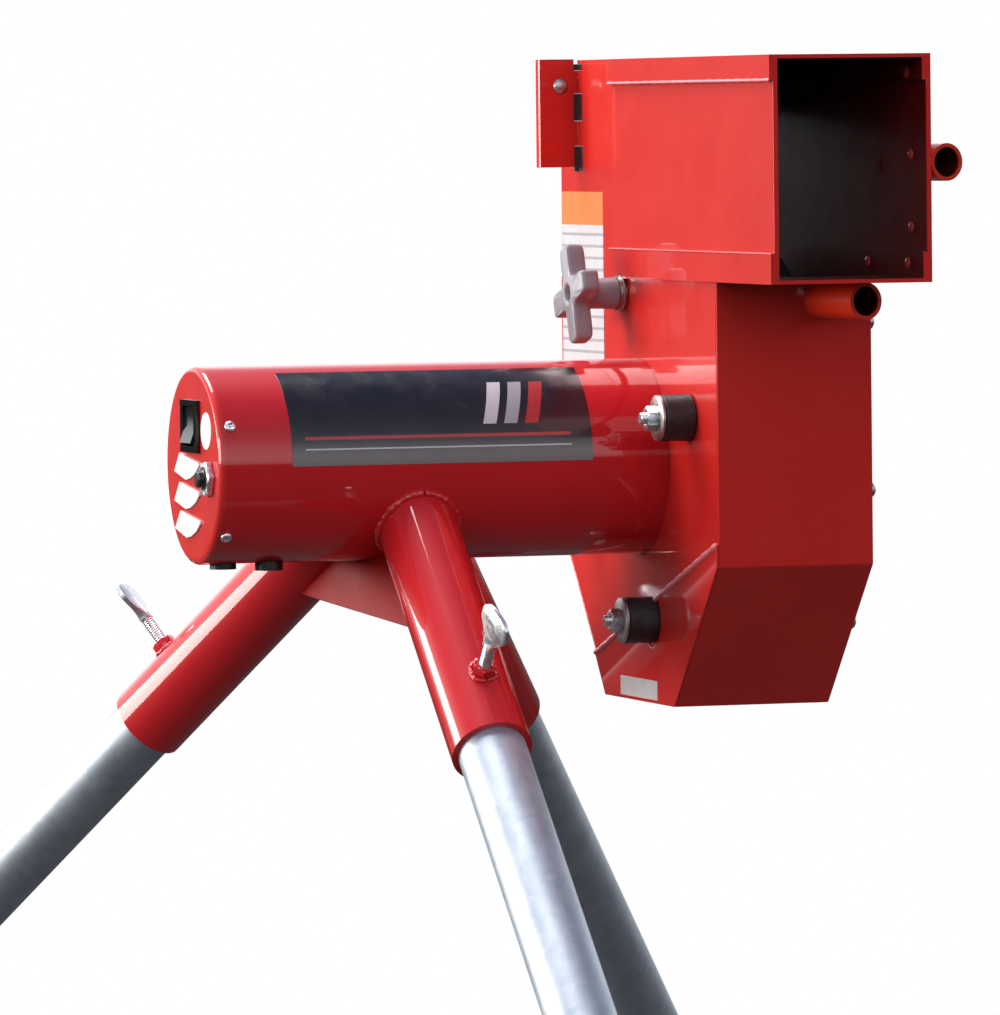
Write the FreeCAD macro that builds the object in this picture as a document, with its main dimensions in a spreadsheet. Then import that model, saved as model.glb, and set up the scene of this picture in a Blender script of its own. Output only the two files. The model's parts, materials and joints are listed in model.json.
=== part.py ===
import FreeCAD, Part
import math
import os
import Sketcher
from types import SimpleNamespace

# Baseball pitching machine: a motor tube on three legs, carrying a ball channel
# with a spinning wheel under it.
#
# Working axes of the machine: X runs along the motor tube towards the ball channel,
# -Y is the way the ball leaves, Z is up. The tube's axis is Y = 0, Z = 0 and the outer
# face of the left side plate is X = 0. "origin_x", "origin_y" and "axis_height" then put
# the whole machine on the floor.

Vector = FreeCAD.Vector

DIMENSIONS = [
    # where the machine stands
    ("origin_x", 134.20),
    ("origin_y", 97.02),
    ("axis_height", 766.6),
    # motor tube: 4 in tube, 2.1 mm wall
    ("tube_r", 50.8),
    ("tube_inner_r", 48.7),
    ("tube_left", -237.3),
    ("tube_right", 6.65),
    ("cap_face", -241.2),
    ("cap_skirt_end", -223.0),
    ("cap_skirt_r", 48.65),
    ("cap_skirt_inner_r", 46.6),
    ("flange_r", 82.0),
    ("flange_left", 2.6),
    ("cap_screw_x", -234.0),
    ("cap_screw_head_r", 3.1),
    ("cap_screw_head_high", 2.0),
    ("cap_screw_r", 1.9),
    # switch, breaker and labels on the end cap
    ("switch_y", -0.5),
    ("switch_z", 20.5),
    ("switch_wide", 30.0),
    ("switch_high", 27.0),
    ("switch_proud", 2.3),
    ("switch_body_wide", 27.0),
    ("switch_body_high", 23.5),
    ("switch_body_deep", 19.0),
    ("rocker_wide", 20.0),
    ("rocker_half_high", 9.3),
    ("rocker_hole_wide", 20.6),
    ("rocker_hole_high", 20.6),
    ("rocker_hole_deep", 10.0),
    ("rocker_pivot_in", 0.9),
    ("rocker_tilt", 10.0),
    ("rocker_pin_r", 1.2),
    ("rocker_pin_hole_r", 1.25),
    ("rocker_pin_out", 1.5),
    ("breaker_y", -33.0),
    ("breaker_z", -5.5),
    ("breaker_r", 5.9),
    ("breaker_bore_r", 4.5),
    ("breaker_nut_flats", 17.0),
    ("breaker_nut_thick", 3.6),
    ("breaker_bush_proud", 4.2),
    ("breaker_body_r", 8.5),
    ("breaker_body_deep", 17.0),
    ("button_r", 4.4),
    ("button_proud", 7.4),
    ("button_long", 14.0),
    ("tab_thick", 1.2),
    ("round_label_y", -27.0),
    ("round_label_z", 18.7),
    ("round_label_r", 9.5),
    ("label_thick", 0.3),
    ("decal_left", -202.2),
    ("decal_right", -41.5),
    ("decal_low_angle", 0.5),
    ("decal_high_angle", 68.0),
    # motor inside the tube
    ("can_r", 48.6),
    ("can_inner_r", 44.5),
    ("can_left", -176.0),
    ("can_right", -30.0),
    ("magnet_r", 44.4),
    ("magnet_inner_r", 38.0),
    ("magnet_left", -150.0),
    ("magnet_right", -50.0),
    ("magnet_angle", 70.0),
    ("bell_thick", 14.0),
    ("bearing_r", 20.0),
    ("bearing_wide", 12.0),
    ("shaft_r", 8.5),
    ("shaft_left", -203.0),
    ("shaft_right", 77.0),
    ("armature_r", 37.0),
    ("armature_left", -145.0),
    ("armature_right", -55.0),
    ("armature_slot", 4.0),
    ("armature_slot_deep", 12.0),
    ("commutator_r", 16.0),
    ("commutator_left", -170.0),
    ("commutator_right", -150.0),
    ("brush_side", 12.0),
    ("brush_left", -176.0),
    ("brush_right", -154.0),
    ("brush_inner", 16.5),
    ("brush_outer", 36.0),
    ("fan_left", -200.5),
    ("fan_wide", 8.0),
    ("fan_r", 42.0),
    ("fan_hub_r", 14.0),
    ("fan_blade", 2.5),
    ("board_left", -233.0),
    ("board_right", -207.0),
    ("board_half_wide", 27.0),
    ("board_z", -36.0),
    ("board_thick", 1.6),
    ("board_part_high", 14.0),
    ("gland_x", -203.0),
    ("gland_y", -7.0),
    ("gland_r", 7.2),
    ("gland_bore_r", 3.6),
    ("gland_drop", 3.4),
    ("gland_thread_r", 5.4),
    ("plug_x", -225.5),
    ("plug_r", 6.8),
    ("plug_drop", 2.6),
    ("plug_stem_r", 5.0),
    # legs and their sockets: 1-3/8 in pipe in 1-5/8 in sockets
    ("splay", 48.9),
    ("rear_swing", 39.0),
    ("left_leg_x", -131.2),
    ("front_leg_x", -132.2),
    ("right_leg_x", -137.2),
    ("socket_r", 20.65),
    ("socket_bore_r", 17.55),
    ("socket_end", 213.0),
    ("pipe_r", 17.46),
    ("pipe_bore_r", 15.8),
    ("pipe_top", 70.0),
    ("pipe_end", 1137.0),
    ("foot_r", 21.5),
    ("foot_top", 1092.0),
    ("foot_base", 1175.0),
    ("screw_at", 177.0),
    ("screw_r", 3.175),
    ("screw_hole_r", 3.25),
    ("screw_tip", 17.56),
    ("screw_neck", 41.0),
    ("screw_top", 61.0),
    ("left_screw_longer", 3.5),
    ("spade_wide", 24.0),
    ("spade_thick", 3.2),
    ("nut_flats", 11.1),
    ("nut_high", 5.6),
    ("web_thick", 3.0),
    ("web_side_reach", 85.0),
    ("web_front_reach", 105.0),
    # side plates of the head
    ("head_wide", 83.5),
    ("plate", 2.5),
    ("sheet", 2.0),
    ("mouth_y", -217.3),
    ("roof_z", 206.7),
    ("floor_z", 92.2),
    ("front_y", -127.3),
    ("front_bend_z", -52.9),
    ("bottom_front_y", -57.3),
    ("bottom_rear_y", 56.4),
    ("bottom_z", -127.8),
    ("rear_y", 127.3),
    ("rear_bend_z", -46.0),
    ("rear_top_z", 92.2),
    ("strip_rear_y", 40.0),
    ("inner_strip_rear_y", -125.0),
    ("lid_strip", 13.1),
    ("floor_strip", 15.4),
    ("flap_y", 96.0),
    ("flap_z", 150.0),
    ("flap_out", 21.3),
    ("flap_lip", 6.0),
    ("flap_rise", 0.5),
    ("slot_out", 1.9),
    ("slot_in", 8.0),
    ("slot_low_z", 147.7),
    ("slot_low_top", 161.2),
    ("slot_mid_z", 174.5),
    ("slot_mid_top", 189.0),
    ("slot_high_z", 201.2),
    ("insert_gap", 0.1),
    ("tube_hole_r", 50.88),
    ("corner_rise", 1.2),
    ("corner_front_z", -40.9),
    ("corner_rear_y", 73.0),
    ("corner_rear_z", -107.0),
    ("corner_hole_r", 14.5),
    ("feed_floor_y", 100.0),
    ("pad_low_z", 181.0),
    ("pad_top_z", 200.9),
    ("pad_half_long", 70.0),
    ("pad_lead", 22.0),
    ("pad_side_gap", 3.5),
    ("backing_low_z", 201.2),
    ("backing_half_long", 76.0),
    # clamp that holds the head on the tube's flange
    ("stud_circle_r", 87.25),
    ("stud_angle", 14.83),
    ("stud_r", 3.175),
    ("stud_hole_r", 3.25),
    ("stud_end", -27.2),
    ("knob_stud_end", -22.0),
    ("stud_head_r", 8.0),
    ("stud_head_thick", 3.4),
    ("ring_left", 6.75),
    ("ring_right", 9.75),
    ("ring_inner_r", 54.0),
    ("ring_outer_r", 97.0),
    ("bumper_r", 12.1),
    ("bumper_left", -16.5),
    ("bumper_right", -0.3),
    ("washer_r", 11.8),
    ("washer_left", -18.5),
    ("washer_right", -16.8),
    ("knob_face", -30.5),
    ("knob_back", -20.9),
    ("knob_neck_r", 8.4),
    ("knob_hub_r", 10.8),
    ("knob_reach", 26.0),
    ("knob_arm_half", 6.4),
    ("knob_neck_end", -4.4),
    ("knob_washer_r", 9.6),
    # wheel
    ("tyre_r", 114.0),
    ("tyre_inner_r", 70.3),
    ("tyre_left", 16.3),
    ("tyre_right", 66.3),
    ("tyre_round", 6.0),
    ("tyre_groove", 2.5),
    ("rim_r", 70.0),
    ("rim_inner_r", 62.0),
    ("web_left", 36.0),
    ("web_right", 46.0),
    ("boss_r", 24.0),
    ("boss_left", 8.0),
    ("boss_right", 66.0),
    ("hub_bore_r", 8.55),
    ("hub_hole_r", 11.0),
    ("hub_hole_at", 43.0),
    ("wheel_nut_flats", 26.0),
    ("wheel_nut_thick", 9.5),
    # sleeves, bolts and labels of the head
    ("sleeve_r", 9.53),
    ("sleeve_bore_r", 7.5),
    ("sleeve_long", 40.5),
    ("sleeve_bore_deep", 34.0),
    ("sleeve_toe", 14.0),
    ("low_sleeve_x", 56.7),
    ("low_sleeve_z", 82.1),
    ("side_sleeve_x", 91.8),
    ("side_sleeve_y", -151.6),
    ("side_sleeve_z", 152.0),
    ("bolt_head_r", 4.2),
    ("bolt_head_thick", 3.0),
    ("bolt_r", 2.4),
    ("bolt_long", 9.0),
    ("small_bolt_head_r", 3.0),
    ("small_bolt_head_thick", 1.6),
    ("small_bolt_r", 1.6),
    ("plate_label_front_y", 54.4),
    ("plate_label_rear_y", 124.0),
    ("plate_label_low_z", 38.0),
    ("plate_label_top_z", 137.0),
    ("small_label_front_y", -31.0),
    ("small_label_rear_y", 29.0),
    ("small_label_low_z", -126.0),
    ("small_label_top_z", -116.0),
]

doc = FreeCAD.newDocument("PitchingMachine")
sheet = doc.addObject("Spreadsheet::Sheet", "Dims")


class Size:
    """A number of the sheet, or a sum of them, with the expression that gives it."""

    def __init__(self, number, text):
        self.number = number
        self.text = text

    def __add__(self, other):
        other = size(other)
        return Size(self.number + other.number, "(%s + %s)" % (self.text, other.text))

    def __radd__(self, other):
        return size(other) + self

    def __sub__(self, other):
        other = size(other)
        return Size(self.number - other.number, "(%s - %s)" % (self.text, other.text))

    def __rsub__(self, other):
        return size(other) - self

    def __mul__(self, other):
        other = size(other)
        return Size(self.number * other.number, "(%s * %s)" % (self.text, other.text))

    def __rmul__(self, other):
        return self * other

    def __neg__(self):
        return Size(-self.number, "(0 - %s)" % self.text)


def size(value):
    """A plain number as a Size."""
    if isinstance(value, Size):
        return value
    return Size(float(value), repr(float(value)))


def read_sheet():
    """Fill the sheet and hand its cells back as named sizes."""
    for row, (alias, value) in enumerate(DIMENSIONS, 1):
        sheet.set("A%d" % row, alias)
        sheet.set("B%d" % row, str(value))
        sheet.setAlias("B%d" % row, alias)
    doc.recompute()
    return SimpleNamespace(**{alias: Size(float(value), "Dims." + alias)
                              for alias, value in DIMENSIONS})


D = read_sheet()
PARTS = []


# ---------------------------------------------------------------- building blocks

def bind(thing, prop, value):
    """Drive one property of an object from the sheet."""
    thing.setExpression(prop, size(value).text)


def seat(thing, x=0, y=0, z=0, turn=None):
    """Put a building block at a point, turned first."""
    spin = turn if turn else FreeCAD.Rotation()
    x, y, z = size(x), size(y), size(z)
    thing.Placement = FreeCAD.Placement(Vector(x.number, y.number, z.number), spin)
    bind(thing, "Placement.Base.x", x)
    bind(thing, "Placement.Base.y", y)
    bind(thing, "Placement.Base.z", z)
    return thing


def finish(thing, label, x=0, y=0, z=0, turn=None):
    """Name a finished sub-part and stand it in the machine."""
    thing.Label = label
    seat(thing, D.origin_x + x, D.origin_y + y, D.axis_height + z, turn)
    PARTS.append(thing)
    return thing


def box(x0, x1, y0, y1, z0, z1, turn=None):
    """A box between two corners."""
    block = doc.addObject("Part::Box", "Box")
    bind(block, "Length", size(x1) - x0)
    bind(block, "Width", size(y1) - y0)
    bind(block, "Height", size(z1) - z0)
    return seat(block, x0, y0, z0, turn)


ALONG_X = FreeCAD.Rotation(Vector(0, 1, 0), 90)
ALONG_MINUS_Y = FreeCAD.Rotation(Vector(1, 0, 0), 90)


def rod(radius, x0, x1, y=0, z=0):
    """A cylinder along X from x0 to x1."""
    bar = doc.addObject("Part::Cylinder", "Rod")
    bind(bar, "Radius", radius)
    bind(bar, "Height", size(x1) - x0)
    return seat(bar, x0, y, z, ALONG_X)


def post(radius, z0, z1, x=0, y=0):
    """A cylinder along Z from z0 to z1."""
    bar = doc.addObject("Part::Cylinder", "Post")
    bind(bar, "Radius", radius)
    bind(bar, "Height", size(z1) - z0)
    return seat(bar, x, y, z0)


def dowel(radius, length, x, y, z, turn):
    """A cylinder from a point in any direction."""
    bar = doc.addObject("Part::Cylinder", "Dowel")
    bind(bar, "Radius", radius)
    bind(bar, "Height", length)
    return seat(bar, x, y, z, turn)


def hexagon(flats, x0, x1, y=0, z=0):
    """A hexagonal bar along X, two of its flats level."""
    bar = doc.addObject("Part::Prism", "Hexagon")
    bar.Polygon = 6
    bind(bar, "Circumradius", size(flats) * (1 / math.sqrt(3)))
    bind(bar, "Height", size(x1) - x0)
    return seat(bar, x0, y, z, ALONG_X)


def cut(base, *tools):
    """Take tools away from a base."""
    for tool in tools:
        piece = doc.addObject("Part::Cut", "Cut")
        piece.Base = base
        piece.Tool = tool
        base = piece
    return base


def fuse(*pieces):
    """Join pieces into one solid."""
    whole = doc.addObject("Part::MultiFuse", "Fuse")
    whole.Shapes = list(pieces)
    return whole


def group(pieces):
    """Several like pieces as separate solids of one sub-part."""
    whole = doc.addObject("Part::Compound", "Group")
    whole.Links = list(pieces)
    return whole


def pin_point(sketch, edge, point, across, up):
    """Fix one sketch point by its two distances from the sketch's origin."""
    for kind, value in (("DistanceX", size(across)), ("DistanceY", size(up))):
        index = sketch.addConstraint(
            Sketcher.Constraint(kind, -1, 1, edge, point, value.number))
        sketch.setExpression("Constraints[%d]" % index, value.text)


def draw_loop(sketch, points):
    """A closed loop of straight edges through the points."""
    first = sketch.GeometryCount
    spots = [Vector(size(a).number, size(b).number, 0) for a, b in points]
    for index, spot in enumerate(spots):
        sketch.addGeometry(Part.LineSegment(spot, spots[(index + 1) % len(spots)]))
    for index in range(len(spots)):
        follower = first + (index + 1) % len(spots)
        sketch.addConstraint(
            Sketcher.Constraint("Coincident", first + index, 2, follower, 1))
    for index, (across, up) in enumerate(points):
        pin_point(sketch, first + index, 1, across, up)


def draw_circle(sketch, across, up, radius):
    """A circle with its centre and radius driven by the sheet."""
    centre = Vector(size(across).number, size(up).number, 0)
    edge = sketch.addGeometry(
        Part.Circle(centre, Vector(0, 0, 1), size(radius).number))
    pin_point(sketch, edge, 3, across, up)
    index = sketch.addConstraint(
        Sketcher.Constraint("Radius", edge, size(radius).number))
    sketch.setExpression("Constraints[%d]" % index, size(radius).text)


def new_body(name, plane):
    """A body with an empty sketch on one of its origin planes."""
    body = doc.addObject("PartDesign::Body", name)
    sketch = body.newObject("Sketcher::SketchObject", name + "Sketch")
    side = [item for item in body.Origin.OriginFeatures if item.Role == plane][0]
    sketch.AttachmentSupport = [(side, "")]
    sketch.MapMode = "FlatFace"
    return body, sketch


def padded(name, points, thick, holes=(), plane="YZ_Plane"):
    """A flat plate: an outline with round holes, padded off its plane."""
    body, sketch = new_body(name, plane)
    draw_loop(sketch, points)
    for across, up, radius in holes:
        draw_circle(sketch, across, up, radius)
    doc.recompute()
    pad = body.newObject("PartDesign::Pad", name + "Pad")
    pad.Profile = sketch
    bind(pad, "Length", thick)
    return body


def turned(name, points):
    """A round part: a profile of (x, radius) points turned about the X axis."""
    body, sketch = new_body(name, "XZ_Plane")
    draw_loop(sketch, points)
    doc.recompute()
    spin = body.newObject("PartDesign::Revolution", name + "Turn")
    spin.Profile = sketch
    spin.ReferenceAxis = (sketch, ["H_Axis"])
    spin.Angle = 360
    return body


def pie(name, outer, inner, x0, x1, low, high):
    """A ring segment along X between two angles, measured from -Y up towards +Z."""
    ring = doc.addObject("Part::Cylinder", name)
    bind(ring, "Radius", outer)
    bind(ring, "Height", size(x1) - x0)
    bind(ring, "Angle", size(high) - low)
    lean = FreeCAD.Rotation(Vector(1, 0, 0), -size(high).number)
    seat(ring, x0, 0, 0, lean.multiply(FACE_FRONT))
    return cut(ring, rod(inner, size(x0) - 1, size(x1) + 1))


# Local Z along +X and local X along -Y: the start of a ring segment's sweep.
FACE_FRONT = FreeCAD.Rotation(Vector(0, -1, 0), Vector(0, 0, -1), Vector(1, 0, 0), "ZXY")


def spot_on_circle(radius, degrees):
    """(y, z) of a point at an angle measured from -Y up towards +Z."""
    turn = math.radians(size(degrees).number)
    return -size(radius) * math.cos(turn), size(radius) * math.sin(turn)


def stud_spots():
    """(y, z) of the three bumper studs and, last, of the star knob's stud."""
    angles = [D.stud_angle, D.stud_angle + 180, D.stud_angle + 270, D.stud_angle + 90]
    return [spot_on_circle(D.stud_circle_r, angle) for angle in angles]


# ---------------------------------------------------------------- motor tube

def motor_tube():
    """The 4 in tube that is the machine's backbone and the motor's housing."""
    tube = cut(rod(D.tube_r, D.tube_left, D.tube_right),
               rod(D.tube_inner_r, D.tube_left - 1, D.tube_right + 1))
    tube = cut(tube, *[screw_hole(angle) for angle in CAP_SCREW_ANGLES])
    tube = cut(tube, post(D.gland_thread_r, -D.tube_r - 2, -D.tube_inner_r + 4,
                          D.gland_x, D.gland_y))
    tube = cut(tube, post(D.plug_stem_r, -D.tube_r - 2, -D.tube_inner_r + 4, D.plug_x))
    finish(tube, "motor_tube")


CAP_SCREW_ANGLES = [24.7, -43.7, -115.0, 173.0]


def radial_turn(degrees):
    """Turns local Z to point outwards from the tube at an angle from -Y towards +Z."""
    return FreeCAD.Rotation(Vector(1, 0, 0), 90 - degrees)


def screw_hole(angle):
    """The clearance hole of one cap screw."""
    y, z = spot_on_circle(D.cap_skirt_inner_r - 2, angle)
    return dowel(D.cap_screw_r + 0.05, 10, D.cap_screw_x, y, z, radial_turn(angle))


def tube_end_flange():
    """The flange at the tube's end that the head turns on."""
    ring = turned("tube_end_flange_ring", [
        (D.flange_left, D.tube_r), (D.flange_left, D.flange_r),
        (D.tube_right, D.flange_r), (D.tube_right, D.tube_r)])
    finish(ring, "tube_end_flange")


def end_cap():
    """The pressed cap with a rounded rim and a skirt inside the tube."""
    shell = turned("end_cap_shell", [
        (D.cap_face, 0), (D.cap_face, D.tube_r - 3.2), (D.cap_face + 0.4, D.tube_r - 1.6),
        (D.cap_face + 1.3, D.tube_r - 0.5), (D.cap_face + 2.4, D.tube_r),
        (D.tube_left, D.tube_r),
        (D.tube_left, D.cap_skirt_r), (D.cap_skirt_end, D.cap_skirt_r),
        (D.cap_skirt_end, D.cap_skirt_inner_r), (D.tube_left, D.cap_skirt_inner_r),
        (D.tube_left, 0)])
    switch_hole = box(D.cap_face - 1, D.tube_left + 1,
                      D.switch_y - D.switch_body_wide * 0.5,
                      D.switch_y + D.switch_body_wide * 0.5,
                      D.switch_z - D.switch_body_high * 0.5,
                      D.switch_z + D.switch_body_high * 0.5)
    breaker_hole = rod(D.breaker_r, D.cap_face - 1, D.tube_left + 1,
                       D.breaker_y, D.breaker_z)
    holes = [screw_hole(angle) for angle in CAP_SCREW_ANGLES]
    plug_hole = post(D.plug_stem_r + 0.05, -D.tube_r - 2, -D.tube_inner_r + 4, D.plug_x)
    finish(cut(shell, switch_hole, breaker_hole, plug_hole, *holes), "end_cap")


def end_cap_screws():
    """Pan-head screws through the tube into the cap's skirt."""
    screws = []
    for angle in CAP_SCREW_ANGLES:
        turn = radial_turn(angle)
        y, z = spot_on_circle(D.cap_skirt_inner_r - 1, angle)
        shank = dowel(D.cap_screw_r, D.tube_r - D.cap_skirt_inner_r + 1.3,
                      D.cap_screw_x, y, z, turn)
        y, z = spot_on_circle(D.tube_r + 0.15, angle)
        head = dowel(D.cap_screw_head_r, D.cap_screw_head_high, D.cap_screw_x, y, z, turn)
        screws.append(fuse(shank, head))
    finish(group(screws), "end_cap_screws")


def switch_pieces():
    """The rocker switch: its black housing, and the rocker that tips in it."""
    y, z = D.switch_y, D.switch_z
    half_wide, half_high = D.switch_wide * 0.5, D.switch_high * 0.5
    body_wide, body_high = D.switch_body_wide * 0.5, D.switch_body_high * 0.5
    bezel = box(D.cap_face - D.switch_proud, D.cap_face,
                y - half_wide, y + half_wide, z - half_high, z + half_high)
    body = box(D.cap_face - 0.5, D.cap_face + D.switch_body_deep,
               y - body_wide, y + body_wide, z - body_high, z + body_high)
    window = box(D.cap_face - D.switch_proud - 1, D.cap_face + D.rocker_hole_deep,
                 y - D.rocker_hole_wide * 0.5, y + D.rocker_hole_wide * 0.5,
                 z - D.rocker_hole_high * 0.5, z + D.rocker_hole_high * 0.5)
    pin_hole = dowel(D.rocker_pin_hole_r, D.rocker_wide + 2 * D.rocker_pin_out + 0.5,
                     D.cap_face + D.rocker_pivot_in,
                     y + D.rocker_wide * 0.5 + D.rocker_pin_out + 0.25, z, ALONG_MINUS_Y)
    finish(cut(fuse(bezel, body), window, pin_hole), "switch_housing")

    high = D.rocker_half_high
    rocker = padded("switch_rocker_pad", [
        (-3.4, high), (-1.9, 0), (-3.4, -high), (0.6, -high), (4.2, high * -0.6),
        (6.0, 0), (4.2, high * 0.6), (0.6, high)], D.rocker_wide, plane="XZ_Plane")
    pin = dowel(D.rocker_pin_r, D.rocker_wide + 2 * D.rocker_pin_out, 0, D.rocker_pin_out, 0,
                ALONG_MINUS_Y)
    finish(fuse(rocker, pin), "switch_rocker", D.cap_face + D.rocker_pivot_in,
           y + D.rocker_wide * 0.5, z,
           FreeCAD.Rotation(Vector(0, 1, 0), D.rocker_tilt.number))


def breaker_pieces():
    """The push-to-reset breaker: body, mounting nut and reset button."""
    y, z = D.breaker_y, D.breaker_z
    bush = rod(D.breaker_r, D.cap_face - D.breaker_bush_proud, D.tube_left + 1, y, z)
    body = rod(D.breaker_body_r, D.tube_left, D.tube_left + D.breaker_body_deep, y, z)
    bore = rod(D.breaker_bore_r, D.cap_face - D.breaker_bush_proud - 1,
               D.tube_left + 10, y, z)
    finish(cut(fuse(bush, body), bore), "breaker_body")

    nut = hexagon(D.breaker_nut_flats, D.cap_face - D.breaker_nut_thick, D.cap_face, y, z)
    hole = rod(D.breaker_r + 0.03, D.cap_face - D.breaker_nut_thick - 1, D.cap_face + 1, y, z)
    finish(cut(nut, hole), "breaker_nut")

    face = D.cap_face - D.button_proud
    button = fuse(rod(D.button_r, face + 0.6, face + D.button_long, y, z),
                  rod(D.button_r - 0.6, face, face + 1, y, z))
    finish(button, "breaker_button")


def cap_labels():
    """Three blank white tabs and one round blank sticker on the cap's face."""
    tabs = []
    for y, z in ((20.5, 6.2), (21.0, -8.9), (20.0, -23.6)):
        low = 9.8 if z > -20 else 9.4
        tabs.append(padded("cap_tab", [
            (size(y), size(z)), (size(y - 36), size(z - 4.0)), (size(y - 37), size(z - 5.6)),
            (size(y - 30), size(z - 9.6)), (size(y - 20), size(z - 12.6)),
            (size(y - 11), size(z - 13.6)), (size(y + 10.5), size(z - low))],
            D.tab_thick))
    for tab in tabs:
        seat(tab, D.cap_face - D.tab_thick)
    sticker = rod(D.round_label_r, D.cap_face - D.label_thick, D.cap_face,
                  D.round_label_y, D.round_label_z)
    finish(group(tabs + [sticker]), "cap_labels")


def tube_decal():
    """The blank dark decal wrapped round the upper front of the tube."""
    decal = pie("decal_sector", D.tube_r + 0.25, D.tube_r, D.decal_left, D.decal_right,
                D.decal_low_angle, D.decal_high_angle)
    finish(decal, "tube_decal")


def cable_fittings():
    """The cable gland and the flat plug under the tube."""
    low = -D.tube_r - D.gland_drop
    collar = post(D.gland_r, low, -D.tube_r + 1, D.gland_x, D.gland_y)
    collar = cut(collar, rod(D.tube_r, D.gland_x - 20, D.gland_x + 20))
    thread = post(D.gland_thread_r, -D.tube_r - 2, -D.tube_inner_r + 3,
                  D.gland_x, D.gland_y)
    bore = post(D.gland_bore_r, low - 1, -D.tube_inner_r + 5, D.gland_x, D.gland_y)
    finish(cut(fuse(collar, thread), bore), "cable_gland")

    disc = post(D.plug_r, -D.tube_r - D.plug_drop, -D.tube_r + 1, D.plug_x)
    disc = cut(disc, rod(D.tube_r, D.plug_x - 20, D.plug_x + 20))
    stem = post(D.plug_stem_r - 0.05, -D.tube_r - 1.5, -D.tube_inner_r + 2, D.plug_x)
    finish(fuse(disc, stem), "hole_plug")


# ---------------------------------------------------------------- motor

def motor_can():
    """The steel ring that closes the magnets' flux."""
    finish(cut(rod(D.can_r, D.can_left, D.can_right),
               rod(D.can_inner_r, D.can_left - 1, D.can_right + 1)), "motor_can")


def field_magnets():
    """Four curved magnets inside the can."""
    half = D.magnet_angle * 0.5
    magnets = [pie("magnet", D.magnet_r, D.magnet_inner_r, D.magnet_left, D.magnet_right,
                   middle - half, middle + half) for middle in (0, 90, 180, 270)]
    finish(group(magnets), "field_magnets")


def end_bell(label, left):
    """A disc across the tube that holds a bearing."""
    bell = cut(rod(D.can_r, left, left + D.bell_thick),
               rod(D.bearing_r, left - 1, left + D.bell_thick + 1))
    finish(bell, label)


def motor_bearings():
    """The two ball bearings of the shaft."""
    inset = (D.bell_thick - D.bearing_wide) * 0.5
    rings = []
    for left in (D.can_left - D.bell_thick, D.can_right):
        start = left + inset
        end = start + D.bearing_wide
        rings.append(cut(rod(D.bearing_r, start, end),
                         rod(D.shaft_r + 0.03, start - 1, end + 1)))
    finish(group(rings), "motor_bearings")


def brush_holders():
    """Two brush boxes against the commutator."""
    half = D.brush_side * 0.5
    pieces = [box(D.brush_left, D.brush_right, D.brush_inner, D.brush_outer, -half, half),
              box(D.brush_left, D.brush_right, -D.brush_outer, -D.brush_inner, -half, half)]
    finish(group(pieces), "brush_holders")


def drive_shaft():
    """The shaft that carries the armature, the fan and the wheel."""
    shaft = fuse(rod(D.shaft_r, D.shaft_left + 1, D.shaft_right - 1),
                 rod(D.shaft_r - 1, D.shaft_left, D.shaft_right))
    finish(shaft, "drive_shaft")


def armature():
    """The wound armature with its slots, and the commutator beside it."""
    drum = rod(D.armature_r, D.armature_left, D.armature_right)
    half = D.armature_slot * 0.5
    slots = []
    for step in range(12):
        turn = FreeCAD.Rotation(Vector(1, 0, 0), 30 * step)
        slot = box(D.armature_left - 1, D.armature_right + 1, -half, half,
                   D.armature_r - D.armature_slot_deep, D.armature_r + 1)
        centre = turn.multVec(Vector(0, -half.number,
                                     D.armature_r.number - D.armature_slot_deep.number))
        seat(slot, D.armature_left - 1, centre.y, centre.z, turn)
        slots.append(slot)
    commutator = rod(D.commutator_r, D.commutator_left, D.commutator_right)
    spool = rod(D.commutator_r - 3, D.commutator_right - 1, D.armature_left + 1)
    bore = rod(D.shaft_r, D.commutator_left - 1, D.armature_right + 1)
    finish(cut(fuse(cut(drum, fuse(*slots)), commutator, spool), bore), "armature")


def cooling_fan():
    """The fan at the shaft's tail."""
    right = D.fan_left + D.fan_wide
    blades = []
    for step in range(9):
        turn = FreeCAD.Rotation(Vector(1, 0, 0), 40 * step)
        corner = turn.multVec(Vector(0, -D.fan_blade.number / 2, D.fan_hub_r.number - 2))
        blade = box(D.fan_left, right, 0, D.fan_blade, D.fan_hub_r - 2, D.fan_r)
        blades.append(seat(blade, D.fan_left, corner.y, corner.z, turn))
    disc = rod(D.fan_r - 4, right - 1.5, right)
    hub = rod(D.fan_hub_r, D.fan_left, right)
    finish(cut(fuse(hub, disc, *blades), rod(D.shaft_r, D.fan_left - 1, right + 1)),
           "cooling_fan")


def speed_control_board():
    """The motor's control board: a board, a heat sink and two capacitors."""
    top = D.board_z + D.board_thick
    board = box(D.board_left, D.board_right, -D.board_half_wide, D.board_half_wide,
                D.board_z, top)
    sink = box(D.board_left + 3, D.board_left + 13, D.board_half_wide * -0.8, 2,
               top - 0.5, top + D.board_part_high)
    caps = [post(4.5, top - 0.5, top + D.board_part_high - 1, D.board_left + 9, y)
            for y in (9, 19)]
    finish(fuse(board, sink, *caps), "speed_control_board")


# ---------------------------------------------------------------- legs

def leg_turn(azimuth):
    """Local -Z runs down the leg and local +X out of its upper side."""
    return FreeCAD.Rotation(Vector(0, 0, 1), azimuth).multiply(
        FreeCAD.Rotation(Vector(0, 1, 0), -D.splay.number))


LEGS = {
    "left": (D.left_leg_x, 90 + D.rear_swing.number),
    "front": (D.front_leg_x, -90.0),
    "right": (D.right_leg_x, 90 - D.rear_swing.number),
}


def clamp_turn(side):
    """The leg's turn, swung round the leg on the right so that the screw clears the tube."""
    turn = leg_turn(LEGS[side][1])
    if side == "right":
        turn = turn.multiply(FreeCAD.Rotation(Vector(0, 0, 1), RIGHT_CLAMP_SWING))
    return turn


RIGHT_CLAMP_SWING = 35.0


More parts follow.
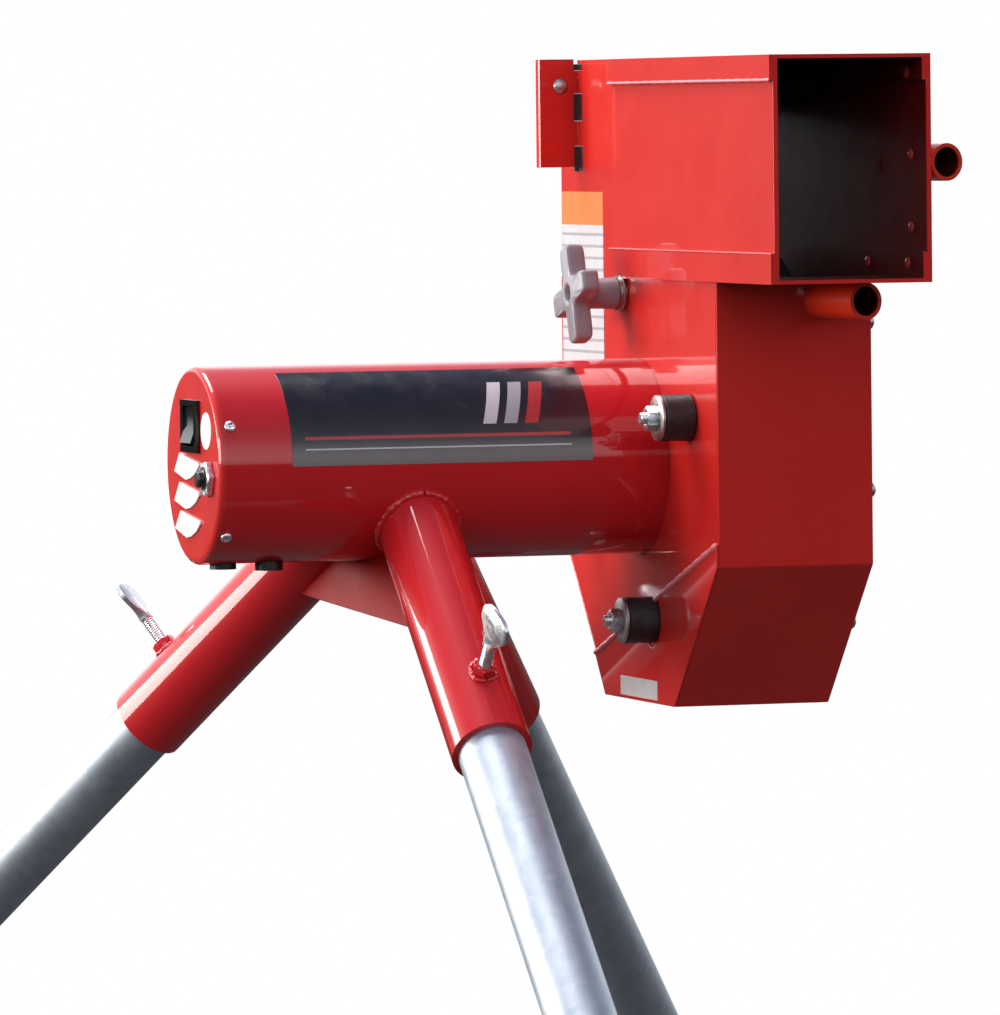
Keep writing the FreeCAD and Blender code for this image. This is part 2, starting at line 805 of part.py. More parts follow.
def slanted(radius, start, end, side):
    """A cylinder down a leg's axis, in the machine's axes."""
    across, azimuth = LEGS[side]
    turn = leg_turn(azimuth)
    foot = turn.multVec(Vector(0, 0, -1))
    return dowel(radius, size(end) - start, across + size(end) * foot.x,
                 size(end) * foot.y, size(end) * foot.z, turn)


def leg_socket(side):
    """The short pipe welded under the tube that takes a leg."""
    across = LEGS[side][0]
    turn = clamp_turn(side)
    at = turn.multVec(Vector(0, 0, -1))
    out = turn.multVec(Vector(1, 0, 0))
    hole_turn = turn.multiply(FreeCAD.Rotation(Vector(0, 1, 0), 90))
    hole = dowel(D.screw_hole_r, D.socket_r + 4, across + D.screw_at * at.x + 8 * out.x,
                 D.screw_at * at.y + 8 * out.y, D.screw_at * at.z + 8 * out.z, hole_turn)
    pipe = cut(slanted(D.socket_r, 10, D.socket_end, side),
               slanted(D.socket_bore_r, 0, D.socket_end + 1, side),
               rod(D.tube_r, D.tube_left, D.tube_right), hole)
    if side == "right":
        pipe = cut(pipe, slanted(D.socket_r, 10, D.socket_end, "left"))
    finish(pipe, "leg_socket_" + side)


def clamp_nuts():
    """The nut welded on each socket for its thumb screw."""
    nuts = []
    for side, (across, _) in LEGS.items():
        turn = clamp_turn(side)
        nut = cut(hexagon(D.nut_flats, D.socket_r - 1.2, D.socket_r + D.nut_high),
                  rod(D.screw_hole_r, D.socket_r - 3, D.socket_r + D.nut_high + 1),
                  post(D.socket_r, -20, 20))
        at = turn.multVec(Vector(0, 0, -1))
        nuts.append(seat(nut, across + D.screw_at * at.x, D.screw_at * at.y,
                         D.screw_at * at.z, turn))
    finish(group(nuts), "clamp_nuts")


SPADE_TWIST = {"left": 105.0, "front": 15.0, "right": 90.0}


def thumb_screw(side):
    """A spade-headed thumb screw that clamps a leg in its socket."""
    across = LEGS[side][0]
    turn = clamp_turn(side)
    at = turn.multVec(Vector(0, 0, -1))
    turn = turn.multiply(FreeCAD.Rotation(Vector(1, 0, 0), SPADE_TWIST[side]))
    half = D.spade_wide * 0.5
    thick = D.spade_thick * 0.5
    extra = D.left_screw_longer if side == "left" else size(0)
    neck, top = D.screw_neck + extra, D.screw_top + extra
    spade = padded("thumb_spade_" + side, [
        (neck - 3, -3.6), (neck + 1, -4.2), (neck + 5, half * -0.8), (neck + 9, -half),
        (top - 4, -half), (top - 1, half * -0.7), (top, half * -0.3), (top, half * 0.3),
        (top - 1, half * 0.7), (top - 4, half), (neck + 9, half), (neck + 5, half * 0.8),
        (neck + 1, 4.2), (neck - 3, 3.6)], D.spade_thick, plane="XZ_Plane")
    seat(spade, 0, thick, 0)
    shank = fuse(rod(D.screw_r, D.screw_tip + 1, neck), rod(D.screw_r - 1, D.screw_tip, neck))
    finish(fuse(shank, spade), "thumb_screw_" + side,
           across + D.screw_at * at.x, D.screw_at * at.y, D.screw_at * at.z, turn)


def leg(side):
    """A leg pipe and its rubber foot, cut level with the floor."""
    across, azimuth = LEGS[side]
    turn = leg_turn(azimuth)
    pipe = cut(post(D.pipe_r, -D.pipe_end, -D.pipe_top),
               post(D.pipe_bore_r, -D.pipe_end - 1, -D.pipe_top + 1))
    finish(pipe, "leg_pipe_" + side, across, 0, 0, turn)

    splay = math.radians(D.splay.number)
    floor_turn = FreeCAD.Rotation(Vector(0, 1, 0), D.splay.number)
    low = D.axis_height + 200
    up_x, up_z = math.sin(splay), math.cos(splay)
    floor = box(0, 600, 0, 300, 0, 200)
    reach = D.axis_height * math.tan(splay) - 300
    seat(floor, reach * up_z - low * up_x, -150, -reach * up_x - low * up_z, floor_turn)
    foot = cut(post(D.foot_r, -D.foot_base, -D.foot_top),
               post(D.pipe_r + 0.3, -D.pipe_end - 0.3, -D.foot_top + 1), floor)
    finish(foot, "leg_foot_" + side, across, 0, 0, turn)


def gusset(label, side):
    """A flat web between the front socket and one of the others, in their common plane."""
    across, azimuth = LEGS[side]
    along = leg_turn(azimuth).multVec(Vector(0, 0, -1))
    front = leg_turn(-90.0).multVec(Vector(0, 0, -1))
    normal = along.cross(front)
    normal.normalize()
    third = normal.cross(along)
    turn = FreeCAD.Rotation(along, third, normal, "ZXY")
    flat = padded(label + "_pad", [
        (0, 0), (D.web_side_reach, 0), (D.web_side_reach, D.socket_r),
        (D.socket_r, D.web_front_reach), (0, D.web_front_reach)],
        D.web_thick, plane="XY_Plane")
    half = D.web_thick * 0.5
    seat(flat, D.front_leg_x - half * normal.x, -half * normal.y, -half * normal.z, turn)
    web = cut(flat, rod(D.tube_r, D.tube_left, D.tube_right),
              slanted(D.socket_r, 0, D.socket_end, side),
              slanted(D.socket_r, 0, D.socket_end, "front"))
    if side == "right":
        web = cut(web, box(D.left_leg_x - 200, D.front_leg_x, -100, 100, -200, 0))
    finish(web, label)


# ---------------------------------------------------------------- head

def side_outline():
    """The outline that both side plates share, as (y, z) points."""
    roof = D.roof_z - D.sheet
    front = D.front_y + D.sheet
    return [
        (D.mouth_y, D.floor_z + D.sheet), (front, D.floor_z + D.sheet),
        (front, D.front_bend_z + 0.9), (D.bottom_front_y + 0.9, D.bottom_z + D.sheet),
        (D.bottom_rear_y - 0.9, D.bottom_z + D.sheet), (D.rear_y - D.sheet, D.rear_bend_z + 0.7),
        (D.rear_y - D.sheet, D.flap_z), (D.flap_y, D.flap_z), (D.flap_y, roof),
        (D.mouth_y, roof)]


def side_plate(label, left, outer, holes):
    """A side plate with its rear corner bent outwards as a slotted flap."""
    plate = padded(label + "_pad", side_outline(), D.plate, holes)
    seat(plate, left)
    sign = 1 if outer > 0 else -1
    edge = D.head_wide if sign > 0 else size(0)
    out, lip, thick = D.flap_out, D.flap_lip, D.plate
    profile = [
        (-thick, size(-0.1)), (size(0), size(-0.1)), (size(0), size(0)), (out - 2, size(0)),
        (out - 0.6, size(0.6)), (out, size(2)), (out, lip), (out - thick, lip),
        (out - thick, thick + 0.8), (out - thick - 0.8, thick), (-thick + 1.2, thick),
        (-thick, thick - 1.2)]
    flap = padded(label + "_flap", [(edge + u * sign, D.flap_y + v) for u, v in profile],
                  D.roof_z + D.flap_rise - D.flap_z, plane="XY_Plane")
    seat(flap, 0, 0, D.flap_z)
    ends = sorted((edge - (thick + 1) * sign, edge + D.slot_out * sign),
                  key=lambda end: end.number)
    slots = [box(ends[0], ends[1], D.flap_y - D.slot_in, D.flap_y + thick + 1, low, high)
             for low, high in ((D.slot_low_z, D.slot_low_top),
                               (D.slot_mid_z, D.slot_mid_top),
                               (D.slot_high_z, D.roof_z + 2))]
    bolt_x, bolt_z = flap_bolt_spot(sign)
    hole = dowel(D.bolt_r + 0.05, 10, bolt_x, D.flap_y + 6, bolt_z, ALONG_MINUS_Y)
    finish(cut(fuse(plate, flap), fuse(*slots), hole), label)


def slot_inserts():
    """Black rubber inserts that fill the slots at the bend of each flap."""
    gap, thick = D.insert_gap, D.plate
    inserts = []
    for sign, edge in ((-1, size(0)), (1, D.head_wide)):
        wall = sorted((edge - gap * sign, edge - (thick - gap) * sign), key=lambda end: end.number)
        outer = sorted((edge + (D.slot_out - gap) * sign, edge - (thick - gap) * sign),
                       key=lambda end: end.number)
        for low, high in ((D.slot_low_z, D.slot_low_top), (D.slot_mid_z, D.slot_mid_top),
                          (D.slot_high_z, D.roof_z - D.sheet)):
            low, high = low + gap, high - gap
            inserts.append(fuse(
                box(wall[0], wall[1], D.flap_y - D.slot_in + gap, D.flap_y + thick - gap,
                    low, high),
                box(outer[0], outer[1], D.flap_y + gap, D.flap_y + thick - gap, low, high)))
    finish(group(inserts), "slot_inserts")


def flap_bolt_spot(sign):
    """(x, z) of the bolt in a flap."""
    edge = D.head_wide if sign > 0 else size(0)
    return edge + 9.5 * sign, size(193.0)


def side_plates():
    """Both side plates: the left one turns on the tube, the right one is plain."""
    studs = [(y, z, D.stud_hole_r) for y, z in stud_spots()]
    side_plate("left_side_plate", size(0), -1, [(0, 0, D.tube_hole_r)] + studs)
    bolts = [(y, z, D.small_bolt_r + 0.05) for y, z, _ in MOUTH_BOLTS]
    bolts += [(y, z, D.bolt_r + 0.05) for y, z in HOUSING_BOLTS]
    side_plate("right_side_plate", D.head_wide - D.plate, 1, bolts)


# The small bolts inside the mouth: y, z, and whether a turned strip lies under the head.
MOUTH_BOLTS = ((-195.0, 197.5, True), (-195.0, 156.0, False), (-195.0, 119.5, False),
               (-195.0, 101.5, True), (-136.0, 101.5, True))
HOUSING_BOLTS = ((-122.3, 70.6), (-122.3, -15.2), (-91.0, -84.0))


def strip_holes():
    """The holes of the small bolts that pass through a turned strip."""
    inner = D.head_wide - D.plate
    return [rod(D.small_bolt_r + 0.05, inner - D.sheet - 1, inner + 1, y, z)
            for y, z, through in MOUTH_BOLTS if through]


def turned_strips(low, high):
    """A sheet's two turned edges: outside the left wall, and inside the right one."""
    inner = D.head_wide - D.plate
    return [box(-D.sheet, 0, D.mouth_y, D.strip_rear_y, low, high),
            box(inner - D.sheet, inner, D.mouth_y, D.inner_strip_rear_y, low, high)]


def channel_lid():
    """The roof of the ball channel with its two turned strips."""
    low, high = D.roof_z - D.sheet, D.roof_z
    roof = fuse(box(-D.sheet, 0, D.mouth_y, D.strip_rear_y, low, high),
                box(0, D.head_wide, D.mouth_y, D.flap_y - 0.1, low, high))
    strips = turned_strips(D.roof_z - D.lid_strip, high)
    finish(cut(fuse(roof, *strips), *strip_holes()), "channel_lid")


def channel_floor():
    """The floor under the mouth with its turned strips, and the feed sill at the rear."""
    low, high = D.floor_z, D.floor_z + D.sheet
    floor = fuse(box(-D.sheet, D.head_wide, D.mouth_y, D.front_y, low, high),
                 *turned_strips(low, D.floor_z + D.floor_strip))
    knob_y, knob_z = stud_spots()[3]
    notch = rod(D.knob_washer_r + 0.4, -D.sheet - 1, 0, knob_y, knob_z)
    sill = box(D.plate, D.head_wide - D.plate, D.feed_floor_y, D.rear_y - D.sheet,
               D.floor_z - D.sheet, D.floor_z)
    finish(group([cut(floor, notch, *strip_holes()), sill]), "channel_floor")


def wheel_guard():
    """One bent sheet round the wheel: front, front bevel, bottom, rear bevel and rear."""
    front, rear = D.front_y, D.rear_y
    skin = D.sheet
    guard = padded("wheel_guard_pad", [
        (front, D.floor_z), (front, D.front_bend_z), (D.bottom_front_y, D.bottom_z),
        (D.bottom_rear_y, D.bottom_z), (rear, D.rear_bend_z), (rear, D.rear_top_z),
        (rear - skin, D.rear_top_z), (rear - skin, D.rear_bend_z + 0.7),
        (D.bottom_rear_y - 0.9, D.bottom_z + skin), (D.bottom_front_y + 0.9, D.bottom_z + skin),
        (front + skin, D.front_bend_z + 0.9), (front + skin, D.floor_z)], D.head_wide)
    finish(guard, "wheel_guard")


def corner_panel():
    """The raised panel welded over the lower front of the left side plate."""
    hole_y, hole_z = stud_spots()[2]
    panel = padded("corner_panel_pad", [
        (D.front_y, D.front_bend_z), (D.bottom_front_y, D.bottom_z),
        (D.bottom_rear_y, D.bottom_z), (D.corner_rear_y, D.corner_rear_z),
        (D.front_y, D.corner_front_z)], D.corner_rise)
    seat(panel, -D.corner_rise)
    finish(cut(panel, rod(D.corner_hole_r, -5, 5, hole_y, hole_z)), "corner_panel")


def pad_pieces():
    """The rubber pad that presses the ball on the wheel, and its backing plate."""
    low, high, half = D.pad_low_z, D.pad_top_z, D.pad_half_long
    pad = padded("compression_pad_block", [
        (-half, high), (-half, low + 8), (-half + D.pad_lead, low), (half - D.pad_lead, low),
        (half, low + 8), (half, high)], D.head_wide - 2 * D.plate - 2 * D.pad_side_gap)
    finish(pad, "compression_pad", D.plate + D.pad_side_gap)

    half = D.backing_half_long
    low, high = D.backing_low_z, D.roof_z - D.sheet
    backing = padded("pad_backing_plate", [
        (-half, low), (half, low), (half, high), (-half, high)], D.head_wide - 2 * D.plate)
    finish(backing, "pad_backing", D.plate)


def clamp_ring():
    """The ring that presses the tube's flange against the left side plate."""
    studs = [rod(D.stud_hole_r, D.ring_left - 1, D.ring_right + 1, y, z)
             for y, z in stud_spots()]
    ring = turned("clamp_ring_disc", [
        (D.ring_left, D.ring_inner_r), (D.ring_left, D.ring_outer_r),
        (D.ring_right, D.ring_outer_r), (D.ring_right, D.ring_inner_r)])
    finish(cut(ring, *studs), "clamp_ring")


def clamp_studs():
    """Four round-head bolts through the ring and the left side plate."""
    ends = [D.stud_end, D.stud_end, D.stud_end, D.knob_stud_end]
    studs = []
    for (y, z), end in zip(stud_spots(), ends):
        shank = rod(D.stud_r, end + 0.8, D.ring_right + 0.5, y, z)
        tip = rod(D.stud_r - 0.8, end, end + 2, y, z)
        head = rod(D.stud_head_r, D.ring_right, D.ring_right + D.stud_head_thick, y, z)
        studs.append(fuse(shank, tip, head))
    finish(group(studs), "clamp_studs")


def bumper_pieces():
    """Rubber bumpers, their washers and their nuts on three of the bolts."""
    rubbers, washers, nuts = [], [], []
    for y, z in stud_spots()[:3]:
        bore = D.stud_r + 0.3
        rubbers.append(cut(rod(D.bumper_r, D.bumper_left, D.bumper_right, y, z),
                           rod(bore, D.bumper_left - 1, D.bumper_right + 1, y, z)))
        washers.append(cut(rod(D.washer_r, D.washer_left, D.washer_right, y, z),
                           rod(D.stud_hole_r, D.washer_left - 1, D.washer_right + 1, y, z)))
        left = D.washer_left - D.nut_high
        nuts.append(cut(hexagon(D.nut_flats, left, D.washer_left, y, z),
                        rod(D.stud_hole_r - 0.05, left - 1, D.washer_left + 1, y, z)))
    finish(group(rubbers), "rubber_bumpers")
    finish(group(washers), "bumper_washers")
    finish(group(nuts), "bumper_nuts")


KNOB_ARM_ANGLES = (72.0, 162.0, 252.0, 342.0)


def star_knob():
    """The four-armed knob that locks the head, and the washer under it."""
    y, z = stud_spots()[3]
    reach, half = D.knob_reach, D.knob_arm_half
    outline = [(0, -half), (reach - 3.5, -half), (reach - 1, -half + 1), (reach, half * -0.5),
               (reach, half * 0.5), (reach - 1, half - 1), (reach - 3.5, half), (0, half)]
    arms = []
    for angle in KNOB_ARM_ANGLES:
        arm = padded("knob_arm", outline, D.knob_back - D.knob_face)
        arms.append(seat(arm, D.knob_face, 0, 0, FreeCAD.Rotation(Vector(1, 0, 0), angle)))
    hub = rod(D.knob_hub_r, D.knob_face - 0.5, D.knob_back + 1)
    neck = rod(D.knob_neck_r, D.knob_back - 1, D.knob_neck_end)
    bore = rod(D.stud_r + 0.05, D.knob_stud_end - 1, D.knob_neck_end + 1)
    recess = rod(5.0, D.knob_face - 2, D.knob_face + 2.5)
    finish(cut(fuse(hub, neck, *arms), bore, recess), "star_knob", 0, y, z)

    washer = cut(rod(D.knob_washer_r, D.knob_neck_end + 0.1, -0.1, y, z),
                 rod(D.stud_hole_r, D.knob_neck_end - 1, 1, y, z))
    finish(washer, "knob_washer")


def wheel_pieces():
    """The wheel: grooved tyre, spoked hub and retaining nut."""
    left, right, crown = D.tyre_left, D.tyre_right, D.tyre_r
    middle = (left + right) * 0.5
    rings = [(left, D.tyre_inner_r), (left, crown - D.tyre_round),
             (left + D.tyre_round * 0.4, crown - D.tyre_round * 0.35),
             (left + D.tyre_round, crown)]
    for offset in (-9, 9):
        start = middle + (offset - 1.5)
        rings += [(start, crown), (start + 0.6, crown - D.tyre_groove),
                  (start + 2.4, crown - D.tyre_groove), (start + 3, crown)]
    rings += [(right - D.tyre_round, crown),
              (right - D.tyre_round * 0.4, crown - D.tyre_round * 0.35),
              (right, crown - D.tyre_round), (right, D.tyre_inner_r)]
    finish(turned("wheel_tyre_ring", rings), "wheel_tyre")

    hub = turned("wheel_hub_disc", [
        (D.boss_left, D.hub_bore_r), (D.boss_left, D.boss_r), (D.web_left, D.boss_r + 2),
        (D.web_left, D.rim_inner_r), (left, D.rim_inner_r + 2), (left, D.rim_r),
        (right, D.rim_r), (right, D.rim_inner_r + 2), (D.web_right, D.rim_inner_r),
        (D.web_right, D.boss_r + 2), (D.boss_right, D.boss_r), (D.boss_right, D.hub_bore_r)])
    holes = []
    for step in range(6):
        y, z = spot_on_circle(D.hub_hole_at, 60 * step)
        holes.append(rod(D.hub_hole_r, D.web_left - 5, D.web_right + 5, y, z))
    finish(cut(hub, *holes), "wheel_hub")

    nut_left = D.boss_right + 0.05
    nut = cut(hexagon(D.wheel_nut_flats, nut_left, nut_left + D.wheel_nut_thick),
              rod(D.shaft_r + 0.03, nut_left - 1, nut_left + D.wheel_nut_thick + 1))
    finish(nut, "wheel_nut")


def accessory_sleeves():
    """Two short blind sleeves toed outwards, one under the mouth and one beside it."""
    toe = FreeCAD.Rotation(Vector(0, 0, 1), D.sleeve_toe.number)
    turn = toe.multiply(ALONG_MINUS_Y)
    out = turn.multVec(Vector(0, 0, 1))
    solid = D.sleeve_long - D.sleeve_bore_deep
    sleeves = []
    for x, y, z in ((D.low_sleeve_x, D.front_y, D.low_sleeve_z),
                    (D.side_sleeve_x, D.side_sleeve_y, D.side_sleeve_z)):
        bar = dowel(D.sleeve_r, D.sleeve_long + 5, x - 5 * out.x, y - 5 * out.y, z, turn)
        bore = dowel(D.sleeve_bore_r, D.sleeve_bore_deep + 1, x + solid * out.x,
                     y + solid * out.y, z, turn)
        sleeves.append(cut(bar, bore))
    low = cut(sleeves[0], box(0, D.head_wide, D.front_y, D.front_y + 20, 60, 100))
    side = cut(sleeves[1], box(60, D.head_wide, -180, -110, 130, 170))
    finish(group([low, side]), "accessory_sleeves")


def panel_bolts():
    """Round-head bolts: beside the mouth, on the wheel housing and in the flaps."""
    bolts = []
    inner = D.head_wide - D.plate
    for y, z, through in MOUTH_BOLTS:
        seat_x = inner - D.sheet if through else inner
        bolts.append(fuse(rod(D.small_bolt_head_r, seat_x - D.small_bolt_head_thick, seat_x,
                              y, z),
                          rod(D.small_bolt_r, seat_x - 1, inner + D.plate + 1, y, z)))
    for y, z in HOUSING_BOLTS:
        bolts.append(fuse(rod(D.bolt_head_r, D.head_wide, D.head_wide + D.bolt_head_thick, y, z),
                          rod(D.bolt_r, inner - 2, D.head_wide + 1, y, z)))
    for sign in (-1, 1):
        x, z = flap_bolt_spot(sign)
        bolts.append(fuse(dowel(D.bolt_head_r, D.bolt_head_thick, x, D.flap_y, z,
                                ALONG_MINUS_Y),
                          dowel(D.bolt_r, D.bolt_long, x, D.flap_y + D.bolt_long - 1, z,
                                ALONG_MINUS_Y)))
    finish(group(bolts), "panel_bolts")


def plate_labels():
    """The two blank labels on the left side plate."""
    large = box(-D.label_thick, 0, D.plate_label_front_y, D.plate_label_rear_y,
                D.plate_label_low_z, D.plate_label_top_z)
    small = box(-D.corner_rise - D.label_thick, -D.corner_rise, D.small_label_front_y,
                D.small_label_rear_y, D.small_label_low_z, D.small_label_top_z)
    finish(group([large, small]), "plate_labels")


# ---------------------------------------------------------------- the machine

def build():
    """Make every sub-part."""
    motor_tube()
    tube_end_flange()
    end_cap()
    end_cap_screws()
    switch_pieces()
    breaker_pieces()
    cap_labels()
    tube_decal()
    cable_fittings()
    motor_can()
    field_magnets()
    end_bell("front_end_bell", D.can_right)
    end_bell("rear_end_bell", D.can_left - D.bell_thick)
    motor_bearings()
    brush_holders()
    drive_shaft()
    armature()
    cooling_fan()
    speed_control_board()
    for side in LEGS:
        leg_socket(side)
        leg(side)
        thumb_screw(side)
    clamp_nuts()
    gusset("gusset_left", "left")
    gusset("gusset_right", "right")
    side_plates()
    slot_inserts()
    channel_lid()
    channel_floor()
    wheel_guard()
    corner_panel()
    pad_pieces()
    clamp_ring()
    clamp_studs()
    bumper_pieces()
    star_knob()
    wheel_pieces()
    accessory_sleeves()
    panel_bolts()
    plate_labels()


def export():
    """Check every shape and write one STEP file per sub-part."""
    doc.recompute()
    for thing in doc.Objects:
        if "Invalid" in thing.State or "Error" in thing.State:
            raise RuntimeError("%s (%s) did not compute" % (thing.Name, thing.Label))
    os.makedirs("parts", exist_ok=True)
    for part in PARTS:
        shape = part.Shape
        if shape.isNull() or not shape.isValid():
            raise RuntimeError("%s has no valid shape" % part.Label)
        shape.exportStep("parts/%s.step" % part.Label)
        bounds = shape.BoundBox
        print("%-22s solids %2d  x %8.1f %8.1f  y %8.1f %8.1f  z %8.1f %8.1f" % (
            part.Label, len(shape.Solids), bounds.XMin, bounds.XMax,
            bounds.YMin, bounds.YMax, bounds.ZMin, bounds.ZMax))


build()
export()
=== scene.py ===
import json
import math

import bmesh
import bpy
from mathutils import Matrix, Vector


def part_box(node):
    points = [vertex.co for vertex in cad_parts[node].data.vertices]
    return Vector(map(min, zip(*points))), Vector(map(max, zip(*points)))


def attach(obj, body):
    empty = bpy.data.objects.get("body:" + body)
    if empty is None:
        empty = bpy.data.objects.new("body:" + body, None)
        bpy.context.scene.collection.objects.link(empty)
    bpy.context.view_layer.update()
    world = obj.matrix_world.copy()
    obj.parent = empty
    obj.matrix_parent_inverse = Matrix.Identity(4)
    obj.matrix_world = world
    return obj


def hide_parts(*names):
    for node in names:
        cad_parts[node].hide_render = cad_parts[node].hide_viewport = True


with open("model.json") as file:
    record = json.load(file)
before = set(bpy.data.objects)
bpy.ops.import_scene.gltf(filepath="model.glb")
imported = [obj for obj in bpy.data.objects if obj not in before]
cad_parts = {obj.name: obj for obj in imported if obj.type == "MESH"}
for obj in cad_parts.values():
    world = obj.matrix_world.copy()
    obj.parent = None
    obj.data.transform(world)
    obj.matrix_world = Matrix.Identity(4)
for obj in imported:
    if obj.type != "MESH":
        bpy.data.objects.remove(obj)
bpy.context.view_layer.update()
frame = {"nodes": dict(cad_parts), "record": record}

MM = 0.001
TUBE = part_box("motor_tube")
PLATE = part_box("wheel_guard")
# The machine's own axes: the tube's axis, and the outer face of the left side plate as x = 0.
ORIGIN = Vector((PLATE[0][0], (TUBE[0][1] + TUBE[1][1]) / 2, (TUBE[0][2] + TUBE[1][2]) / 2))


def at(x, y, z):
    """A point in the machine's axes, in millimetres, as a place in the frame."""
    return ORIGIN + Vector((x, y, z)) * MM


# ---------------------------------------------------------------- materials

class Shader:
    """A material's node tree, built a few nodes at a time."""

    def __init__(self, name, color, rough=0.4, metal=0.0, coat=0.0, coat_rough=0.06,
                 specular=0.5):
        self.material = bpy.data.materials.new(name)
        self.material.use_nodes = True
        self.nodes = self.material.node_tree.nodes
        self.links = self.material.node_tree.links
        self.bsdf = self.nodes["Principled BSDF"]
        inputs = self.bsdf.inputs
        inputs["Base Color"].default_value = (*color, 1)
        inputs["Roughness"].default_value = rough
        inputs["Metallic"].default_value = metal
        inputs["Coat Weight"].default_value = coat
        inputs["Coat Roughness"].default_value = coat_rough
        inputs["Specular IOR Level"].default_value = specular
        self.coords = self.nodes.new("ShaderNodeTexCoord").outputs["Object"]
        self.normal = None

    def place(self, stretch=(1, 1, 1), turn=(0, 0, 0)):
        """The object coordinates, stretched and turned."""
        node = self.nodes.new("ShaderNodeMapping")
        node.inputs["Scale"].default_value = stretch
        node.inputs["Rotation"].default_value = turn
        self.links.new(self.coords, node.inputs["Vector"])
        return node.outputs["Vector"]

    def noise(self, scale, detail=4.0, rough=0.55, coords=None):
        node = self.nodes.new("ShaderNodeTexNoise")
        node.inputs["Scale"].default_value = scale
        node.inputs["Detail"].default_value = detail
        node.inputs["Roughness"].default_value = rough
        self.links.new(coords or self.coords, node.inputs["Vector"])
        return node.outputs["Fac"]

    def cells(self, scale, coords=None):
        node = self.nodes.new("ShaderNodeTexVoronoi")
        node.inputs["Scale"].default_value = scale
        self.links.new(coords or self.coords, node.inputs["Vector"])
        return node

    def ramp(self, value, stops):
        """Map a value through (position, level) stops."""
        node = self.nodes.new("ShaderNodeValToRGB")
        ramp = node.color_ramp
        while len(ramp.elements) < len(stops):
            ramp.elements.new(0.5)
        for element, (position, level) in zip(ramp.elements, stops):
            element.position = position
            shade = level if isinstance(level, tuple) else (level, level, level)
            element.color = (*shade, 1)
        self.links.new(value, node.inputs["Fac"])
        return node.outputs["Color"]

    def mix(self, fac, a, b):
        node = self.nodes.new("ShaderNodeMix")
        node.data_type = "RGBA"
        for socket, value in ((node.inputs[0], fac), (node.inputs[6], a), (node.inputs[7], b)):
            if isinstance(value, tuple):
                socket.default_value = (*value, 1)
            elif isinstance(value, (int, float)):
                socket.default_value = value
            else:
                self.links.new(value, socket)
        return node.outputs[2]

    def maths(self, kind, a, b=0.0):
        node = self.nodes.new("ShaderNodeMath")
        node.operation = kind
        for socket, value in zip(node.inputs, (a, b)):
            if isinstance(value, (int, float)):
                socket.default_value = value
            else:
                self.links.new(value, socket)
        return node.outputs[0]

    def split(self, coords=None):
        node = self.nodes.new("ShaderNodeSeparateXYZ")
        self.links.new(coords or self.coords, node.inputs[0])
        return node.outputs

    def color(self, value):
        self.links.new(value, self.bsdf.inputs["Base Color"])
        return self

    def coated(self, bare):
        """Leave out the clear coat where the mask is 1."""
        self.links.new(self.maths("SUBTRACT", 1.0, bare), self.bsdf.inputs["Coat Weight"])

    def roughness(self, value):
        self.links.new(value, self.bsdf.inputs["Roughness"])
        return self

    def bump(self, height, strength=0.3, distance=0.0005):
        node = self.nodes.new("ShaderNodeBump")
        node.inputs["Strength"].default_value = strength
        node.inputs["Distance"].default_value = distance
        self.links.new(height, node.inputs["Height"])
        if self.normal:
            self.links.new(self.normal, node.inputs["Normal"])
        self.normal = node.outputs["Normal"]
        self.links.new(self.normal, self.bsdf.inputs["Normal"])
        return self


def lighter(color, gain, lift):
    return tuple(min(1, c * gain + lift) for c in color)


def darker(color, gain):
    return tuple(c * gain for c in color)


def within(s, box):
    """A mask of the points inside a box given as (low, high) per axis."""
    mask = None
    for axis, (low, high) in enumerate(box):
        value = s.split()[axis]
        both = s.maths("MULTIPLY", s.maths("GREATER_THAN", value, low),
                       s.maths("LESS_THAN", value, high))
        mask = both if mask is None else s.maths("MULTIPLY", mask, both)
    return mask


def paint(name, color, deep, rough=0.05, grime=0.5, shaded_boxes=(), gloss=1.0):
    """Sprayed enamel: slight colour drift, orange peel, dust in the film and fine scratches; inside
    the given boxes, painted shade: near-black and without clear coat.
    """
    s = Shader(name, color, 0.42, coat=gloss, coat_rough=rough, specular=0.12)
    drift = s.noise(9, 3)
    base = s.mix(s.ramp(drift, [(0.3, 0.0), (0.75, 1.0)]), color, deep)
    cloud = s.noise(34, 5, 0.65)
    base = s.mix(s.maths("MULTIPLY", s.ramp(cloud, [(0.56, 0.0), (0.74, 1.0)]), 0.25 * grime),
                 base, lighter(color, 0.85, 0.025))
    scratch = s.noise(60, 2, 0.4, s.place((1, 14, 1), (0.3, 0.5, 0.4)))
    marks = s.ramp(scratch, [(0.70, 0.0), (0.73, 1.0)])
    base = s.mix(s.maths("MULTIPLY", marks, 0.16 * grime), base, lighter(color, 1.2, 0.03))
    pits = s.ramp(s.cells(260).outputs["Distance"], [(0.0, 1.0), (0.06, 0.0)])
    base = s.mix(s.maths("MULTIPLY", pits, 0.25 * grime), base, darker(deep, 0.4))
    # Painted shade: the insides of the given boxes are painted near-black and lose the clear coat.
    if shaded_boxes:
        inside = None
        for box in shaded_boxes:
            mask = within(s, box)
            inside = mask if inside is None else s.maths("MAXIMUM", inside, mask)
        base = s.mix(s.maths("MULTIPLY", inside, 0.84), base, (0.035, 0.004, 0.004))
        s.coated(inside)
    s.color(base)
    s.roughness(s.ramp(s.noise(48, 4), [(0.25, 0.34), (0.8, 0.52)]))
    s.bump(s.noise(420, 2, 0.4), 0.04, 0.0004)
    s.bump(s.noise(26, 3, 0.5), 0.04, 0.003)
    return s.material


